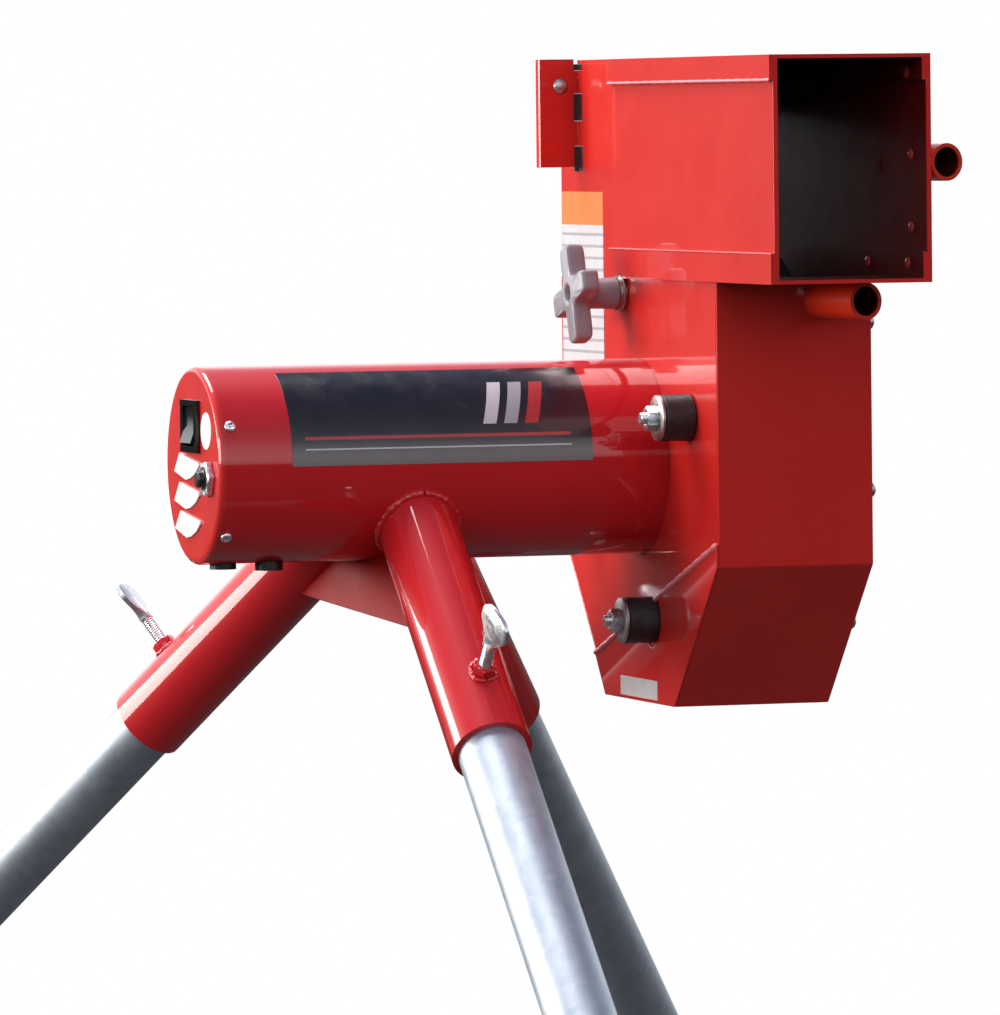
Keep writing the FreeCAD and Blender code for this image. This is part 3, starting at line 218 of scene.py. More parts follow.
def galvanised():
    """Hot-dipped pipe: soft bluish metal with faint spangle, fine grain and white bloom."""
    s = Shader("galvanised_pipe", (0.62, 0.65, 0.68), 0.42, metal=1.0)
    grey = s.nodes.new("ShaderNodeRGBToBW")
    s.links.new(s.cells(170).outputs["Color"], grey.inputs[0])
    tone = s.mix(s.ramp(grey.outputs[0], [(0.2, 0.0), (0.8, 1.0)]),
                 (0.45, 0.51, 0.57), (0.52, 0.57, 0.63))
    bloom = s.ramp(s.noise(14, 5, 0.7), [(0.52, 0.0), (0.75, 1.0)])
    tone = s.mix(s.maths("MULTIPLY", bloom, 0.35), tone, (0.64, 0.69, 0.75))
    fine = s.ramp(s.noise(240, 3), [(0.62, 0.0), (0.72, 1.0)])
    tone = s.mix(s.maths("MULTIPLY", fine, 0.22), tone, (0.34, 0.36, 0.39))
    s.color(tone)
    s.roughness(s.ramp(s.noise(60, 4), [(0.25, 0.46), (0.8, 0.58)]))
    s.bump(s.noise(180, 3), 0.05, 0.0004)
    return s.material


def plated(name, color, rough=0.25, tarnish=0.4):
    """Zinc-plated hardware."""
    s = Shader(name, color, rough, metal=1.0)
    dull = s.ramp(s.noise(220, 4, 0.6), [(0.45, 0.0), (0.7, 1.0)])
    s.color(s.mix(s.maths("MULTIPLY", dull, tarnish), color, darker(color, 0.55)))
    s.roughness(s.ramp(s.noise(300, 3), [(0.3, rough * 0.8), (0.8, rough * 1.7)]))
    s.bump(s.noise(700, 2), 0.08, 0.0002)
    return s.material


def rubber(name, color, rough=0.62, specks=1.0):
    """Moulded rubber with a fine grain and dust."""
    s = Shader(name, color, rough, specular=0.45)
    dust = s.ramp(s.noise(90, 5, 0.65), [(0.5, 0.0), (0.75, 1.0)])
    s.color(s.mix(s.maths("MULTIPLY", dust, 0.3 * specks), color, lighter(color, 1, 0.10)))
    s.roughness(s.ramp(s.noise(140, 3), [(0.3, rough * 0.8), (0.8, min(1.0, rough * 1.25))]))
    s.bump(s.noise(1400, 2), 0.15, 0.0002)
    return s.material


def plastic(name, color, rough=0.4, grain=1.0):
    """Moulded plastic with a light texture."""
    s = Shader(name, color, rough)
    drift = s.noise(70, 4)
    s.color(s.mix(s.ramp(drift, [(0.35, 0.0), (0.75, 1.0)]), color, darker(color, 0.78)))
    s.roughness(s.ramp(s.noise(260, 3), [(0.3, rough * 0.8), (0.8, rough * 1.3)]))
    s.bump(s.noise(1800, 2), 0.12 * grain, 0.0002)
    return s.material


def cast(name, color, rough=0.45):
    """Cast or machined light metal."""
    s = Shader(name, color, rough, metal=1.0)
    s.color(s.mix(s.ramp(s.noise(80, 5), [(0.35, 0.0), (0.75, 1.0)]), color,
                  darker(color, 0.7)))
    s.roughness(s.ramp(s.noise(300, 4), [(0.3, rough * 0.75), (0.8, rough * 1.3)]))
    s.bump(s.noise(900, 4), 0.25, 0.0003)
    return s.material


def vinyl(name, color, band=None, rules=None):
    """A blank label: a coloured band above a level, and soft grey rules below it."""
    s = Shader(name, color, 0.38, coat=0.25)
    base = s.mix(s.ramp(s.noise(60, 4), [(0.4, 0.0), (0.8, 1.0)]), color, darker(color, 0.90))
    height = s.split()[2]
    if rules:
        pitch, low, high = rules
        wave = s.maths("FRACT", s.maths("MULTIPLY", height, 1 / pitch))
        line = s.maths("LESS_THAN", wave, 0.24)
        line = s.maths("MULTIPLY", line, s.maths("LESS_THAN", height, high))
        line = s.maths("MULTIPLY", line, s.maths("GREATER_THAN", height, low))
        base = s.mix(s.maths("MULTIPLY", line, 0.55), base, (0.16, 0.16, 0.20))
    if band:
        level, tint = band
        base = s.mix(s.maths("GREATER_THAN", height, level), base, tint)
    s.color(base)
    s.bump(s.noise(500, 2), 0.05, 0.0002)
    return s.material


def decal_skin(x0, x1, top, low):
    """Dark vinyl, grey along its lowest edge and darkening to near-black towards the top, with
    plain printed pinstripes.
    """
    s = Shader("decal_print", (0.03, 0.035, 0.07), 0.24, coat=0.5, coat_rough=0.12)
    x, y, z = s.split()
    height = s.maths("DIVIDE", s.maths("SUBTRACT", z, low), top - low)
    base = s.ramp(height, [(0.0, (0.16, 0.14, 0.14)), (0.10, (0.085, 0.075, 0.080)),
                           (0.26, (0.016, 0.014, 0.018)), (1.0, (0.006, 0.005, 0.009))])
    along = s.maths("DIVIDE", s.maths("SUBTRACT", x, x0), x1 - x0)
    inside = s.maths("MULTIPLY", s.maths("GREATER_THAN", along, 0.045),
                     s.maths("LESS_THAN", along, 0.93))
    for middle, half, tint in ((0.30, 0.018, (0.42, 0.03, 0.03)), (0.18, 0.008, (0.5, 0.5, 0.52))):
        near = s.maths("LESS_THAN", s.maths("ABSOLUTE", s.maths("SUBTRACT", height, middle)),
                       half)
        base = s.mix(s.maths("MULTIPLY", near, inside), base, tint)
    for step in range(3):
        start = 0.62 + 0.07 * step
        lean = s.maths("SUBTRACT", along, s.maths("MULTIPLY", height, 0.10))
        near = s.maths("LESS_THAN", s.maths("ABSOLUTE", s.maths("SUBTRACT", lean, start)), 0.022)
        tall = s.maths("MULTIPLY", s.maths("GREATER_THAN", height, 0.42),
                       s.maths("LESS_THAN", height, 0.86))
        base = s.mix(s.maths("MULTIPLY", near, tall), base,
                     ((0.55, 0.56, 0.60), (0.36, 0.37, 0.42), (0.42, 0.03, 0.03))[step])
    scuff = s.ramp(s.noise(120, 5, 0.7), [(0.60, 0.0), (0.8, 1.0)])
    s.color(s.mix(s.maths("MULTIPLY", scuff, 0.10), base, (0.30, 0.31, 0.34)))
    s.roughness(s.ramp(s.noise(90, 4), [(0.3, 0.16), (0.8, 0.34)]))
    s.bump(s.noise(300, 2), 0.05, 0.0003)
    return s.material


RED = (0.56, 0.011, 0.016)
PLATE_RED = (0.62, 0.020, 0.014)
# The insides of the ball channel and of the wheel housing, as (low, high) per axis, where the
# head's enamel gets painted shade: near-black instead of lit red.
PAINTED_SHADE_BOXES = [
    list(zip(at(0.4, -216.5, 92.4), at(83.15, 300, 206.4))),
    list(zip(at(0.4, -126.9, -52), at(83.15, 126.9, 92.6))),
]
M = {
    "tube": paint("tube_enamel", RED, (0.50, 0.008, 0.012)),
    "socket": paint("socket_enamel", RED, (0.50, 0.009, 0.013), 0.05, 0.6),
    "cap": paint("cap_enamel", (0.64, 0.022, 0.018), (0.58, 0.017, 0.014), 0.06, 0.4),
    "head": paint("head_enamel_with_painted_shade", PLATE_RED, (0.56, 0.014, 0.011), 0.06, 1.0, PAINTED_SHADE_BOXES),
    # Small bolts inside the mouth: red paint darkened as painted shade.
    "shaded_bolt_paint": paint("bolt_enamel_painted_shade", (0.42, 0.05, 0.05), (0.34, 0.03, 0.03), 0.12, 0.8),
    "orange": paint("sleeve_enamel", (0.66, 0.034, 0.010), (0.54, 0.022, 0.008), 0.08, 0.4),
    "pipe": galvanised(),
    "zinc": plated("zinc_plating", (0.80, 0.81, 0.84), 0.30, 0.22),
    "dull_zinc": plated("dull_zinc", (0.50, 0.49, 0.47), 0.34, 0.6),
    "dark_nut": plated("dark_nut", (0.36, 0.33, 0.30), 0.30, 0.6),
    "steel": plated("ground_steel", (0.62, 0.62, 0.63), 0.22, 0.2),
    "rubber": rubber("moulded_rubber", (0.016, 0.015, 0.017), 0.5),
    # Near-black rubber for the slot strips: painted shade seen through the slots.
    "insert": rubber("slot_shade_rubber", (0.030, 0.012, 0.013), 0.5),
    "foot": rubber("foot_rubber", (0.022, 0.022, 0.022)),
    "pad": rubber("pad_rubber", (0.012, 0.010, 0.010), 0.85, 0.3),
    "tyre": rubber("tyre_rubber", (0.035, 0.035, 0.036), 0.7, 1.6),
    "black": plastic("black_plastic", (0.010, 0.010, 0.011), 0.35),
    "knob": plastic("knob_plastic", (0.27, 0.265, 0.30), 0.42, 1.4),
    "gloss_black": plastic("gloss_black", (0.008, 0.008, 0.009), 0.14, 0.2),
    # Gusset enamel: the sockets' red darkened as painted shade under the tube, with no clear coat.
    "web": paint("web_enamel_painted_shade", (0.30, 0.008, 0.009), (0.26, 0.006, 0.007), 0.22, 0.3, gloss=0.0),
    # Near-black enamel for the sleeves' linings: painted shade inside the sleeves.
    "bore": paint("bore_painted_shade", (0.045, 0.007, 0.003), (0.030, 0.005, 0.002), 0.3, 0.5, gloss=0.0),
    # Pale pink enamel: a painted highlight on the lid strip's edge bead, and on the corner seam
    # partly dust, partly a painted highlight.
    "seam": paint("seam_enamel_painted_highlight", (0.78, 0.26, 0.28), (0.66, 0.10, 0.12), 0.10, 0.8),
    "cast": cast("cast_aluminium", (0.62, 0.62, 0.63)),
    "motor": cast("motor_steel", (0.18, 0.18, 0.19), 0.5),
    "copper": cast("varnished_copper", (0.45, 0.20, 0.10), 0.35),
    "board": plastic("board_lacquer", (0.02, 0.12, 0.05), 0.3),
    # White vinyl: the round label's own colour, and a painted reflection on the louvre tabs.
    "white": vinyl("blank_vinyl_and_painted_glare", (0.80, 0.79, 0.78)),
}
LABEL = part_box("plate_labels")
M["label"] = vinyl("blank_label", (0.60, 0.60, 0.62),
                   band=(LABEL[1][2] - 0.0175, (0.80, 0.19, 0.035)),
                   rules=(0.0062, LABEL[0][2] + 0.094, LABEL[1][2] - 0.020))
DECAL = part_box("tube_decal")
M["decal"] = decal_skin(DECAL[0][0], DECAL[1][0], DECAL[1][2], DECAL[0][2])


# ---------------------------------------------------------------- mesh tools

NODE_BODY = {node: body for body, nodes in
             frame["record"]["behaviour"]["bodies"].items() for node in nodes}


def add(name, mesh, body, material, smooth=None):
    """A finished piece: a mesh object that rides on a body."""
    thing = bpy.data.objects.new(name, mesh)
    bpy.context.scene.collection.objects.link(thing)
    mesh.materials.clear()
    mesh.materials.append(M[material])
    for face in mesh.polygons:
        face.use_smooth = True
    if smooth is not None:
        mesh.set_sharp_from_angle(angle=math.radians(smooth))
    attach(thing, body)
    return thing


def built(name, bm, body, material, smooth=35):
    """A piece from a mesh under construction."""
    bm.normal_update()
    mesh = bpy.data.meshes.new(name)
    bm.to_mesh(mesh)
    bm.free()
    return add(name, mesh, body, material, smooth)


def closed(name, bm, body, material, smooth=60):
    """A built piece whose faces are turned outwards first."""
    bmesh.ops.recalc_face_normals(bm, faces=bm.faces)
    return built(name, bm, body, material, smooth)


def stand_in(node, bm, material, smooth=38):
    """A closed piece that stands for a CAD node."""
    thing = closed(node + ".skin", bm, NODE_BODY[node], material, smooth)
    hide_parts(node)


def settle(thing):
    """Apply a piece's modifiers to its mesh."""
    depsgraph = bpy.context.evaluated_depsgraph_get()
    depsgraph.update()
    mesh = bpy.data.meshes.new_from_object(thing.evaluated_get(depsgraph))
    old = thing.data
    thing.modifiers.clear()
    thing.data = mesh
    bpy.data.meshes.remove(old)
    return thing


def refine(node, material, bevel=0.4, segments=2, smooth=40, angle=28):
    """A copy of a CAD node with its edges broken, standing for the node."""
    source = frame["nodes"][node]
    bm = bmesh.new()
    bm.from_mesh(source.data)
    bmesh.ops.remove_doubles(bm, verts=bm.verts, dist=2e-6)
    bmesh.ops.dissolve_limit(bm, angle_limit=math.radians(0.4), verts=bm.verts, edges=bm.edges)
    thing = built(node + ".skin", bm, NODE_BODY[node], material, None)
    if bevel:
        mod = thing.modifiers.new("edge", "BEVEL")
        mod.width = bevel * MM
        mod.segments = segments
        mod.limit_method = "ANGLE"
        mod.angle_limit = math.radians(angle)
        mod.use_clamp_overlap = True
        settle(thing)
    thing.data.shade_smooth()
    thing.data.set_sharp_from_angle(angle=math.radians(smooth))
    level = thing.modifiers.new("level", "WEIGHTED_NORMAL")
    level.keep_sharp = True
    level.weight = 100
    settle(thing)
    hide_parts(node)
    return thing


def skin(node, material):
    """Give a CAD node that keeps its own shape a new material."""
    thing = frame["nodes"][node]
    for slot in thing.material_slots:
        slot.material = M[material]


def ring(bm, where, along, reach, count, start=0.0):
    """A ring of points round the matrix's Z axis; reach is a radius or gives one at an angle."""
    points = []
    for step in range(count):
        turn = 2 * math.pi * step / count + start
        r = reach(turn) if callable(reach) else reach
        spot = Vector((r * math.cos(turn), r * math.sin(turn), along)) * MM
        points.append(bm.verts.new(where @ spot))
    return points


def join(bm, rings):
    """Faces between neighbouring rings; a ring of one point is a tip."""
    for low, high in zip(rings, rings[1:]):
        count = max(len(low), len(high))
        for step in range(count):
            after = (step + 1) % count
            if len(low) == 1 and len(high) == 1:
                continue
            if len(low) == 1:
                bm.faces.new((low[0], high[after], high[step]))
            elif len(high) == 1:
                bm.faces.new((low[step], low[after], high[0]))
            else:
                bm.faces.new((low[step], low[after], high[after], high[step]))


def tip(bm, where, along):
    """A ring of one point on the matrix's Z axis."""
    return [bm.verts.new(where @ Vector((0, 0, along * MM)))]


def seal(bm, rings):
    """Faces over both ends of a joined row of rings."""
    bm.faces.new(list(reversed(rings[0])))
    bm.faces.new(rings[-1])


def lathe(bm, profile, where, segments=64):
    """Turn (along, radius) points, in millimetres, about the matrix's Z axis."""
    join(bm, [ring(bm, where, along, radius, segments) if radius > 1e-6 else
              tip(bm, where, along) for along, radius in profile])


def aim(point, along, up=(0, 0, 1)):
    """A matrix at a point whose Z axis runs along a direction."""
    z = Vector(along).normalized()
    x = Vector(up) - z * z.dot(Vector(up))
    if x.length < 1e-4:
        x = Vector((1, 0, 0)) - z * z.x
    x.normalize()
    y = z.cross(x)
    return Matrix(((x.x, y.x, z.x, point.x), (x.y, y.y, z.y, point.y),
                   (x.z, y.z, z.z, point.z), (0, 0, 0, 1)))


def thread(bm, where, start, end, radius, pitch, depth, segments=32):
    """A screw thread from start to end along the matrix's Z axis."""
    turns = (end - start) / pitch
    rows = max(4, int(turns * 6))
    grid = []
    for row in range(rows + 1):
        along = start + (end - start) * row / rows
        fade = min(1.0, (row + 0.5) / 3, (rows - row + 0.5) / 3)

        def reach(turn):
            phase = (along / pitch - turn / (2 * math.pi)) % 1.0
            return radius - depth * (1 - abs(2 * phase - 1)) - depth * 0.6 * (1 - fade)

        grid.append(ring(bm, where, along, reach, segments))
    join(bm, grid)
    seal(bm, grid)


def hex_nut(bm, where, flats, start, end, bore, turn=0.0, dome=0.9):
    """A nut with chamfered corners along the matrix's Z axis."""
    corner = flats / math.sqrt(3)
    count = 36

    def hexed(limit):
        def reach(angle):
            wedge = (angle - turn + math.pi / 6) % (math.pi / 3) - math.pi / 6
            return min(flats / 2 / math.cos(wedge), limit)
        return reach

    rows = [(start, flats / 2 - 0.1), (start + dome * 0.55, corner),
            (end - dome * 0.55, corner), (end, flats / 2 - 0.1)]
    rings = [ring(bm, where, along, hexed(limit), count, turn) for along, limit in rows]
    for along, r in ((end, bore + 0.5), (end - 0.5, bore), (start + 0.5, bore),
                     (start, bore + 0.5)):
        rings.append(ring(bm, where, along, r, count, turn))
    join(bm, rings + [rings[0]])


def bead(bm, points, radius, ripple=0.22, pitch=2.2, segments=10):
    """A weld bead: a lumpy tube along a path of points, in metres."""
    dense = []
    for a, b in zip(points, points[1:]):
        steps = max(1, int((b - a).length / (0.55 * MM)))
        dense += [a.lerp(b, s / steps) for s in range(steps)]
    dense.append(points[-1])
    rings = []
    walked = 0.0
    for index, spot in enumerate(dense):
        before = dense[max(0, index - 1)]
        after = dense[min(len(dense) - 1, index + 1)]
        along = after - before
        if index:
            walked += (spot - before).length / MM
        wave = abs(math.sin(math.pi * walked / pitch))
        wander = 0.12 * math.sin(walked * 0.43) + 0.08 * math.sin(walked * 1.31 + 1)
        r = radius * (1 - ripple + ripple * wave + wander)
        if index in (0, len(dense) - 1):
            r *= 0.3
        rings.append(ring(bm, aim(spot, along, (0.31, 0.2, 0.93)), 0, r, segments))
    join(bm, rings)
    seal(bm, rings)


# ---------------------------------------------------------------- machine pieces

PLAIN = {
    "tube_end_flange": "head", "wheel_nut": "dull_zinc", "drive_shaft": "steel",
    "motor_can": "motor", "field_magnets": "motor", "front_end_bell": "cast",
    "rear_end_bell": "cast", "motor_bearings": "steel", "brush_holders": "black",
    "speed_control_board": "board", "armature": "copper", "cooling_fan": "black",
    "breaker_body": "black", "pad_backing": "head", "clamp_ring": "dull_zinc",
}
for node_name, material_name in PLAIN.items():
    skin(node_name, material_name)

refine("motor_tube", "tube", 0.5)
refine("end_cap", "cap", 0.5, 3, 60, 20)
for side in ("left", "front", "right"):
    refine("leg_socket_" + side, "socket", 0.6, 3, 50)
    refine("leg_pipe_" + side, "pipe", 0.3, 2, 50)
    refine("leg_foot_" + side, "foot", 1.6, 3, 50)
for side in ("left", "right"):
    refine("gusset_" + side, "web", 0.6, 2)
for node_name in ("left_side_plate", "right_side_plate", "channel_floor", "wheel_guard"):
    refine(node_name, "head", 0.8, 3)
refine("channel_lid", "head", 0.95, 3)
refine("corner_panel", "head", 0.45, 2)
refine("accessory_sleeves", "orange", 0.35, 2, 50)
# Dark rubber strips behind the flap's slots: a dark sheet standing for the shade seen through them.
refine("slot_inserts", "insert", 0.3, 2)
refine("cable_gland", "black", 1.2, 4, 50)
refine("hole_plug", "black", 0.6, 3, 50)
refine("switch_housing", "gloss_black", 0.7, 3)
refine("switch_rocker", "gloss_black", 0.6, 3)
refine("breaker_button", "black", 0.5, 3, 50)
# White for the round label, and on the three louvre tabs a painted reflection of bright sky on
# their red paint.
refine("cap_labels", "white", 0.3, 2)
refine("plate_labels", "label", 0.05, 1)
refine("compression_pad", "pad", 1.2, 3)
refine("wheel_tyre", "tyre", 0.5, 2, 50)
refine("wheel_hub", "cast", 0.8, 2, 50)
refine("tube_decal", "decal", 0.0)

SPLAY = math.radians(48.9)
SWING = math.radians(39.0)
SOCKET_R = 20.65
CLAMP_DOWN = 177.0
# Each leg's place along the tube, and its compass direction.
LEG_AXES = {
    "left": (-131.2, Vector((-math.sin(SWING), math.cos(SWING), 0))),
    "front": (-132.2, Vector((0, -1, 0))),
    "right": (-137.2, Vector((math.sin(SWING), math.cos(SWING), 0))),
}


def leg_axes(side):
    """A leg's origin x, its downward direction and the direction out of its upper side."""
    across, level = LEG_AXES[side]
    down = level * math.sin(SPLAY) + Vector((0, 0, -math.cos(SPLAY)))
    out = level * math.cos(SPLAY) + Vector((0, 0, math.sin(SPLAY)))
    return across, down, out


# How far each screw is swung round its leg and its spade turned, in degrees, and its extra length.
CLAMPS = {"left": (0.0, 15.0, 3.5), "front": (0.0, -75.0, 0.0), "right": (35.0, 0.0, 0.0)}


def clamp_axes(side):
    """A clamp screw's seat on the leg's axis, its direction, and the leg's direction."""
    across, down, out = leg_axes(side)
    swing = math.radians(CLAMPS[side][0])
    out = out * math.cos(swing) - down.cross(out) * math.sin(swing)
    seat = Vector((across, 0, 0)) + down * CLAMP_DOWN
    return at(*seat), out, down


def thumb_screws():
    """Spade-headed screws with cut threads."""
    for side in LEG_AXES:
        base, out, down = clamp_axes(side)
        twist = math.radians(CLAMPS[side][1])
        extra = CLAMPS[side][2]
        where = aim(base, out, down * math.cos(twist) - down.cross(out) * math.sin(twist))
        bm = bmesh.new()
        thread(bm, where, 17.6, 41.0 + extra, 3.17, 1.27, 0.38)
        outline = [(38.0, 3.5), (40.0, 3.9), (42.0, 4.7), (44.0, 6.4), (46.5, 8.9), (49.0, 10.8),
                   (51.5, 11.7), (54.0, 11.9), (56.2, 11.6), (58.2, 10.4), (59.8, 8.2),
                   (60.7, 5.2), (61.0, 2.0)]
        outline = outline + [(a, -w) for a, w in reversed(outline)]
        layers = []
        for thick, shrink in ((-1.55, 0.7), (-1.1, 0.0), (1.1, 0.0), (1.55, 0.7)):
            layer = []
            for along, wide in outline:
                sign = 1 if wide > 0 else -1
                a = along - shrink * (1 if along > 50.0 else -0.4)
                swell = 1.0 + 0.9 * max(0.0, (45.0 - along) / 7)
                spot = Vector((thick * swell, wide - sign * shrink, a + extra)) * MM
                layer.append(bm.verts.new(where @ spot))
            layers.append(layer)
        join(bm, layers)
        seal(bm, layers)
        thing = closed("thumb_screw_%s.skin" % side, bm, "thumb_screw_" + side, "zinc", 38)
        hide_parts("thumb_screw_" + side)


def clamp_nuts():
    """Nuts welded on the sockets, with their weld beads."""
    bm = bmesh.new()
    for side in LEG_AXES:
        base, out, down = clamp_axes(side)
        where = aim(base, out, down)
        hex_nut(bm, where, 11.1, 20.2, 26.2, 3.25, 0.2)
        sideways = down.cross(out)
        path = []
        for step in range(33):
            turn = 2 * math.pi * step / 32
            r = 6.5 + 0.4 * math.sin(3 * turn)
            off = r * math.sin(turn)
            fall = SOCKET_R - math.sqrt(SOCKET_R ** 2 - off ** 2)
            path.append(base + (out * (SOCKET_R + 0.25 - fall) + down * (r * math.cos(turn))
                                + sideways * off) * MM)
        bead(bm, path, 1.4, 0.22, 2.6)
    stand_in("clamp_nuts", bm, "socket")


# The circle of the clamp ring's studs, round the tube's axis.
STUD_CIRCLE_R = 87.25
STUD_ANGLES = (14.83, 194.83, 284.83)
KNOB_ANGLE = 104.83


def stud_axis(degrees, along=-1):
    """A matrix on the stud circle whose Z axis runs out of the left plate, or back into it."""
    turn = math.radians(degrees)
    spot = at(0, -STUD_CIRCLE_R * math.cos(turn), STUD_CIRCLE_R * math.sin(turn))
    return aim(spot, (along, 0, 0))


def bumpers():
    """Rubber bumpers with a waist, washers, nuts and threaded stud ends."""
    rubbers, washers, nuts, studs = (bmesh.new() for _ in range(4))
    for angle in STUD_ANGLES:
        where = stud_axis(angle)
        lathe(rubbers, [(0.3, 3.5), (0.3, 11.4), (0.9, 12.0), (2.2, 12.1), (8.4, 11.85),
                        (14.4, 12.1), (15.8, 12.0), (16.4, 11.4), (16.4, 3.5), (0.3, 3.5)], where)
        lathe(washers, [(16.8, 3.3), (16.8, 11.5), (17.1, 11.8), (18.2, 11.8), (18.5, 11.4),
                        (18.5, 3.3), (16.8, 3.3)], where)
        hex_nut(nuts, where, 11.1, 18.5, 24.1, 3.25, 0.35 + angle)
        thread(studs, where, 14.0, 27.2, 3.15, 1.27, 0.5)
    thread(studs, stud_axis(KNOB_ANGLE), 2.0, 21.8, 3.15, 1.27, 0.5)
    for angle in STUD_ANGLES + (KNOB_ANGLE,):
        lathe(studs, [(-3, 0), (-3, 3.1), (9.8, 3.1), (9.8, 8.0), (11.4, 7.9), (12.6, 6.0),
                      (13.1, 3.0), (13.15, 0)], stud_axis(angle, 1), 40)
    stand_in("rubber_bumpers", rubbers, "rubber")
    stand_in("bumper_washers", washers, "dull_zinc")
    stand_in("bumper_nuts", nuts, "zinc")
    stand_in("clamp_studs", studs, "zinc")


def star_knob():
    """A four-armed moulded knob with blunt arms, a recessed hub and a tapered neck."""
    where = stud_axis(KNOB_ANGLE)
    bm = bmesh.new()
    count = 240

    def arms(shrink):
        """The outline of four blunt arms that run into a round hub."""
        def reach(turn):
            wedge = (turn - math.radians(18) + math.pi / 4) % (math.pi / 2) - math.pi / 4
            arm = ((abs(math.sin(wedge)) / 6.3) ** 8 + (math.cos(wedge) / 25.9) ** 8) ** (-1 / 8)
            return (arm ** 8 + 10.6 ** 8) ** (1 / 8) - shrink
        return reach

    neck = ((4.4, 3.3), (4.4, 8.2), (4.9, 8.4), (14.0, 7.9), (19.4, 7.9), (20.7, 8.6))
    rows = ((20.9, 0.42), (21.0, 0.72), (21.6, 0.90), (22.8, 0.985), (24.6, 1.0), (27.6, 1.0),
            (29.2, 0.975), (30.2, 0.90), (30.5, 0.80))
    hub = ((30.55, 7.6), (30.9, 6.8), (30.9, 5.4), (30.3, 4.7), (27.2, 4.4))
    rings = [ring(bm, where, along, arms((1 - scale) * 6.0), count) for along, scale in rows]
    rings += [ring(bm, where, along, r, count) for along, r in hub]
    rings.append(tip(bm, where, 27.0))
    join(bm, [ring(bm, where, along, r, count) for along, r in neck] + rings)
    stand_in("star_knob", bm, "knob", 50)

    bm = bmesh.new()
    lathe(bm, [(0.1, 3.3), (0.1, 9.3), (0.5, 9.6), (2.0, 9.6), (2.4, 9.1), (4.2, 9.0), (4.25, 3.3),
               (0.1, 3.3)], where)
    stand_in("knob_washer", bm, "dark_nut")


CAP_SCREW_X = -234.0
CAP_SCREW_R = 50.9


def pan_heads():
    """Cross-recessed pan-head screws round the cap."""
    bm = bmesh.new()
    for angle in (24.7, -43.7, -115.0, 173.0):
        turn = math.radians(angle)
        outwards = Vector((0, -math.cos(turn), math.sin(turn)))
        where = aim(at(CAP_SCREW_X, *(outwards * CAP_SCREW_R).yz), outwards, (1, 0, 0))
        lathe(bm, [(-2.5, 0), (-2.5, 1.85), (0, 1.85), (0, 3.0), (0.35, 3.1), (1.0, 2.9),
                   (1.5, 2.35), (1.75, 1.6), (1.15, 0.9), (0.7, 0)], where, 32)
    stand_in("end_cap_screws", bm, "zinc", 40)


def round_head(bm, spot, along, radius, high, shank, deep):
    """A round-head bolt seated at a point."""
    lathe(bm, [(-deep, 0), (-deep, shank), (0, shank), (0, radius), (high * 0.25, radius),
               (high * 0.6, radius * 0.82), (high * 0.88, radius * 0.5), (high, 0)],
          aim(spot, along), 32)


PLATE_RIGHT = 83.5
HOUSING_BOLTS = ((-122.3, 70.6), (-122.3, -15.2), (-91.0, -84.0))
FLAP_BOLTS_X = (-9.5, 93.0)
MOUTH_WALL = 81.0
MOUTH_BOLTS = ((79.0, -195.0, 197.5), (81.0, -195.0, 156.0), (81.0, -195.0, 119.5),
               (79.0, -195.0, 101.5), (79.0, -136.0, 101.5))


def panel_bolts():
    """Round-head bolts of the housing, and the small painted ones inside the mouth."""
    bm = bmesh.new()
    for y, z in HOUSING_BOLTS:
        round_head(bm, at(PLATE_RIGHT, y, z), (1, 0, 0), 4.1, 2.95, 2.4, 4.2)
    for x in FLAP_BOLTS_X:
        round_head(bm, at(x, 96.0, 193.0), (0, -1, 0), 4.1, 2.6, 2.4, 8.0)
    stand_in("panel_bolts", bm, "dull_zinc", 40)

    # The mouth bolts' red paint is darkened as painted shade.
    bm = bmesh.new()
    for x, y, z in MOUTH_BOLTS:
        round_head(bm, at(x, y, z), (-1, 0, 0), 3.0, 1.6, 1.5, 5.4 - (MOUTH_WALL - x))
    closed("mouth_bolts", bm, "head", "shaded_bolt_paint", 40)


BREAKER = (-241.2, -33.0, -5.5)


def breaker_nut():
    """The breaker's mounting nut on the cap, with a turn of thread showing."""
    bm = bmesh.new()
    where = aim(at(*BREAKER), (-1, 0, 0))
    hex_nut(bm, where, 17.0, 0.0, 3.6, 5.93, 0.1, 0.8)
    thread(bm, where, 3.0, 4.2, 5.9, 0.8, 0.3)
    stand_in("breaker_nut", bm, "zinc")


TUBE_WELD_R = 51.0
SOCKET_WELD_R = 20.9
SIDE_SLEEVE_WELD = (84.9, -149.0, 152.0)
CHANNEL_MOUTH = -217.0
STRIP_END = 39.6
CORNER_SEAM = ((-0.9, -126.0, -41.6), (-0.9, -95.0, -51.6), (-0.9, -44.3, -68.4),
               (-0.9, 0.0, -83.0), (-0.9, 72.0, -106.6))


def socket_welds():
    """Beads where the sockets meet the tube."""
    bm = bmesh.new()
    for side in LEG_AXES:
        across, down, out = leg_axes(side)
        sideways = down.cross(out)
        path = []
        for step in range(97):
            turn = 2 * math.pi * step / 96
            offset = (out * (SOCKET_WELD_R * math.cos(turn))
                      + sideways * (SOCKET_WELD_R * math.sin(turn)))
            # Where the socket's straight line from this offset meets the tube.
            a = down.y ** 2 + down.z ** 2
            b = 2 * (down.y * offset.y + down.z * offset.z)
            c = offset.y ** 2 + offset.z ** 2 - TUBE_WELD_R ** 2
            reach = (-b + math.sqrt(max(0.0, b * b - 4 * a * c))) / (2 * a)
            spot = offset + down * reach
            path.append(at(across + spot.x, spot.y, spot.z))
        bead(bm, path, 2.4, 0.10, 3.4)
    closed("socket_welds", bm, "frame", "socket")


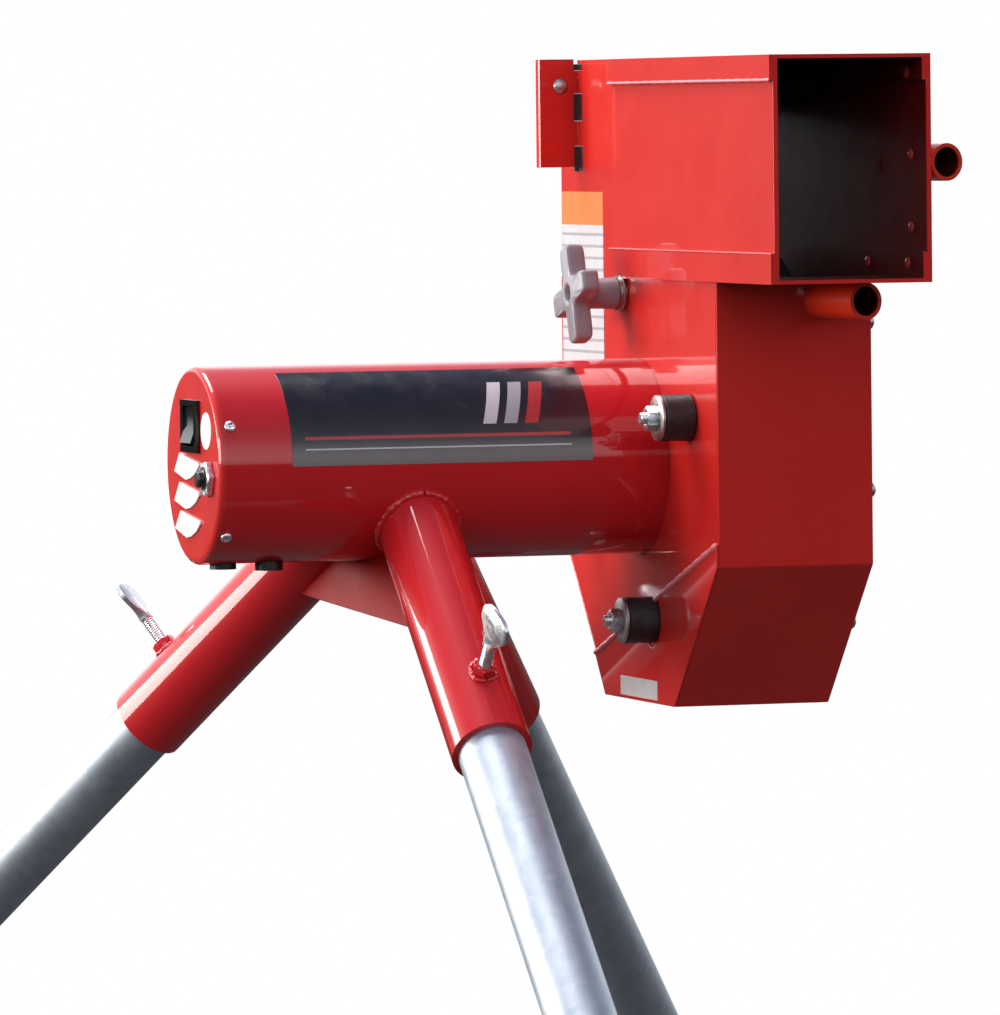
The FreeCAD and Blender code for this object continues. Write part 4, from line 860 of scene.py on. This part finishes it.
def head_welds():
    """The corner panel's seam, the side sleeve's bead and the rolled edges of the strips; the lid
    strip's edge bead is pale pink as a painted highlight.
    """
    bm = bmesh.new()
    bead(bm, [at(*spot) for spot in CORNER_SEAM], 1.6, 0.28, 2.6)
    closed("corner_seam", bm, "head", "seam")

    bm = bmesh.new()
    x, y, z = SIDE_SLEEVE_WELD
    bead(bm, [at(x + 3.9 * math.cos(t), y, z + 8.6 * math.sin(t))
              for t in [math.pi * k / 12 - math.pi / 2 for k in range(24)]], 1.0, 0.3, 2.2)
    bead(bm, [at(-1.7, CHANNEL_MOUTH, 107.4), at(-1.7, STRIP_END, 107.4)], 0.6, 0.03, 9.0)
    closed("head_welds", bm, "head", "head")

    # A pale pink bead along the lid strip's lower edge: a painted highlight.
    bm = bmesh.new()
    bead(bm, [at(-2.0, CHANNEL_MOUTH, 194.0), at(-2.0, STRIP_END, 194.0)], 0.85, 0.03, 9.0)
    closed("strip_edge_highlight", bm, "head", "seam")


SLEEVE_TOE = math.radians(14.0)
SLEEVE_ROOTS = ((56.7, -127.3, 82.1), (91.8, -151.6, 152.0))


def sleeve_shade_linings():
    """Near-black linings on the unlit walls inside the two sleeves: painted shade."""
    bm = bmesh.new()
    out = Vector((math.sin(SLEEVE_TOE), -math.cos(SLEEVE_TOE), 0))
    for root in SLEEVE_ROOTS:
        lathe(bm, [(6.6, 0), (6.6, 7.0), (6.9, 7.42), (39.2, 7.42)], aim(at(*root), out), 48)
    built("sleeve_shade_linings", bm, "head", "bore", 60)


thumb_screws()
clamp_nuts()
bumpers()
star_knob()
pan_heads()
panel_bolts()
breaker_nut()
socket_welds()
head_welds()
sleeve_shade_linings()


# ---------------------------------------------------------------- stage

def camera():
    """A long lens, a little above the head, looking along the muzzle side."""
    yaw, pitch, roll = (math.radians(v) for v in (17.55, 2.49, -0.63))
    ahead = Vector((math.sin(yaw) * math.cos(pitch), math.cos(yaw) * math.cos(pitch),
                    -math.sin(pitch)))
    right = Vector((math.cos(yaw), -math.sin(yaw), 0))
    up = right.cross(ahead)
    right, up = (right * math.cos(roll) + up * math.sin(roll),
                 up * math.cos(roll) - right * math.sin(roll))
    data = bpy.data.cameras.new("camera")
    data.lens = 319.2
    data.sensor_width = 36
    data.clip_end = 100
    thing = bpy.data.objects.new("camera", data)
    spot = at(-1481.68, -4444.90, 177.53)
    thing.matrix_world = Matrix((
        (right.x, up.x, -ahead.x, spot.x), (right.y, up.y, -ahead.y, spot.y),
        (right.z, up.z, -ahead.z, spot.z), (0, 0, 0, 1)))
    bpy.context.scene.collection.objects.link(thing)
    bpy.context.scene.camera = thing


def light(name, target, around, lift, away, wide, high, power, tint):
    """A soft box at a compass angle and elevation, in degrees, from the target."""
    around, lift = math.radians(around), math.radians(lift)
    toward = Vector((math.cos(around) * math.cos(lift), math.sin(around) * math.cos(lift),
                     math.sin(lift)))
    data = bpy.data.lights.new(name, "AREA")
    data.shape = "RECTANGLE"
    data.size = high
    data.size_y = wide
    data.energy = power
    data.color = tint
    thing = bpy.data.objects.new(name, data)
    thing.matrix_world = aim(target + toward * away, toward)
    thing.visible_camera = False
    bpy.context.scene.collection.objects.link(thing)


def floor():
    """A wide disc of pale paper, dark to everything but the camera."""
    bm = bmesh.new()
    bmesh.ops.create_circle(bm, cap_ends=True, segments=128, radius=4.0)
    mesh = bpy.data.meshes.new("floor")
    bm.to_mesh(mesh)
    bm.free()
    disc = bpy.data.objects.new("floor", mesh)
    bpy.context.scene.collection.objects.link(disc)
    disc.location.z = -0.0006
    s = Shader("floor_paper", (0.80, 0.80, 0.80), 0.9)
    seen = s.nodes.new("ShaderNodeLightPath").outputs["Is Camera Ray"]
    paper = s.mix(s.noise(3, 3), (0.80, 0.80, 0.80), (0.77, 0.77, 0.775))
    s.color(s.mix(seen, (0.05, 0.05, 0.05), paper))
    mesh.materials.append(s.material)


def studio():
    """A white room to the camera; to the pieces, a bright band above the horizon."""
    world = bpy.data.worlds.new("studio")
    bpy.context.scene.world = world
    world.use_nodes = True
    nodes, links = world.node_tree.nodes, world.node_tree.links
    coords = nodes.new("ShaderNodeTexCoord")
    split = nodes.new("ShaderNodeSeparateXYZ")
    links.new(coords.outputs["Generated"], split.inputs[0])
    lift = nodes.new("ShaderNodeMapRange")
    lift.inputs["From Min"].default_value = -1
    links.new(split.outputs[2], lift.inputs["Value"])
    ramp = nodes.new("ShaderNodeValToRGB")
    stops = [(0.0, (0.02, 0.02, 0.02)), (0.512, (0.03, 0.03, 0.03)), (0.535, (1.2, 1.2, 1.25)),
             (0.59, (1.5, 1.5, 1.55)), (0.67, (1.1, 1.12, 1.2)), (0.76, (0.40, 0.44, 0.55)),
             (0.88, (0.20, 0.24, 0.36)), (1.0, (0.12, 0.15, 0.28))]
    while len(ramp.color_ramp.elements) < len(stops):
        ramp.color_ramp.elements.new(0.5)
    for element, (position, tint) in zip(ramp.color_ramp.elements, stops):
        element.position = position
        element.color = (*tint, 1)
    links.new(lift.outputs[0], ramp.inputs[0])
    path = nodes.new("ShaderNodeLightPath")
    shade = nodes.new("ShaderNodeMix")
    shade.data_type = "RGBA"
    shade.inputs[7].default_value = (1, 1, 1, 1)
    links.new(ramp.outputs[0], shade.inputs[6])
    links.new(path.outputs["Is Camera Ray"], shade.inputs[0])
    links.new(shade.outputs[2], nodes["Background"].inputs["Color"])
    bpy.context.scene.view_settings.view_transform = "Standard"


def lights():
    """Three soft boxes round the middle of the machine."""
    middle = at(-60, 0, 0)
    light("key", middle, 157, 9.0, 3.0, 3.2, 0.84, 105, (1.0, 0.95, 0.88))
    light("top", middle, 120, 62, 1.5, 0.9, 0.9, 32, (1.0, 0.97, 0.95))
    light("front", middle, -105, 36, 3.0, 1.2, 1.2, 9.5, (1.0, 1.0, 1.0))


camera()
floor()
studio()
lights()
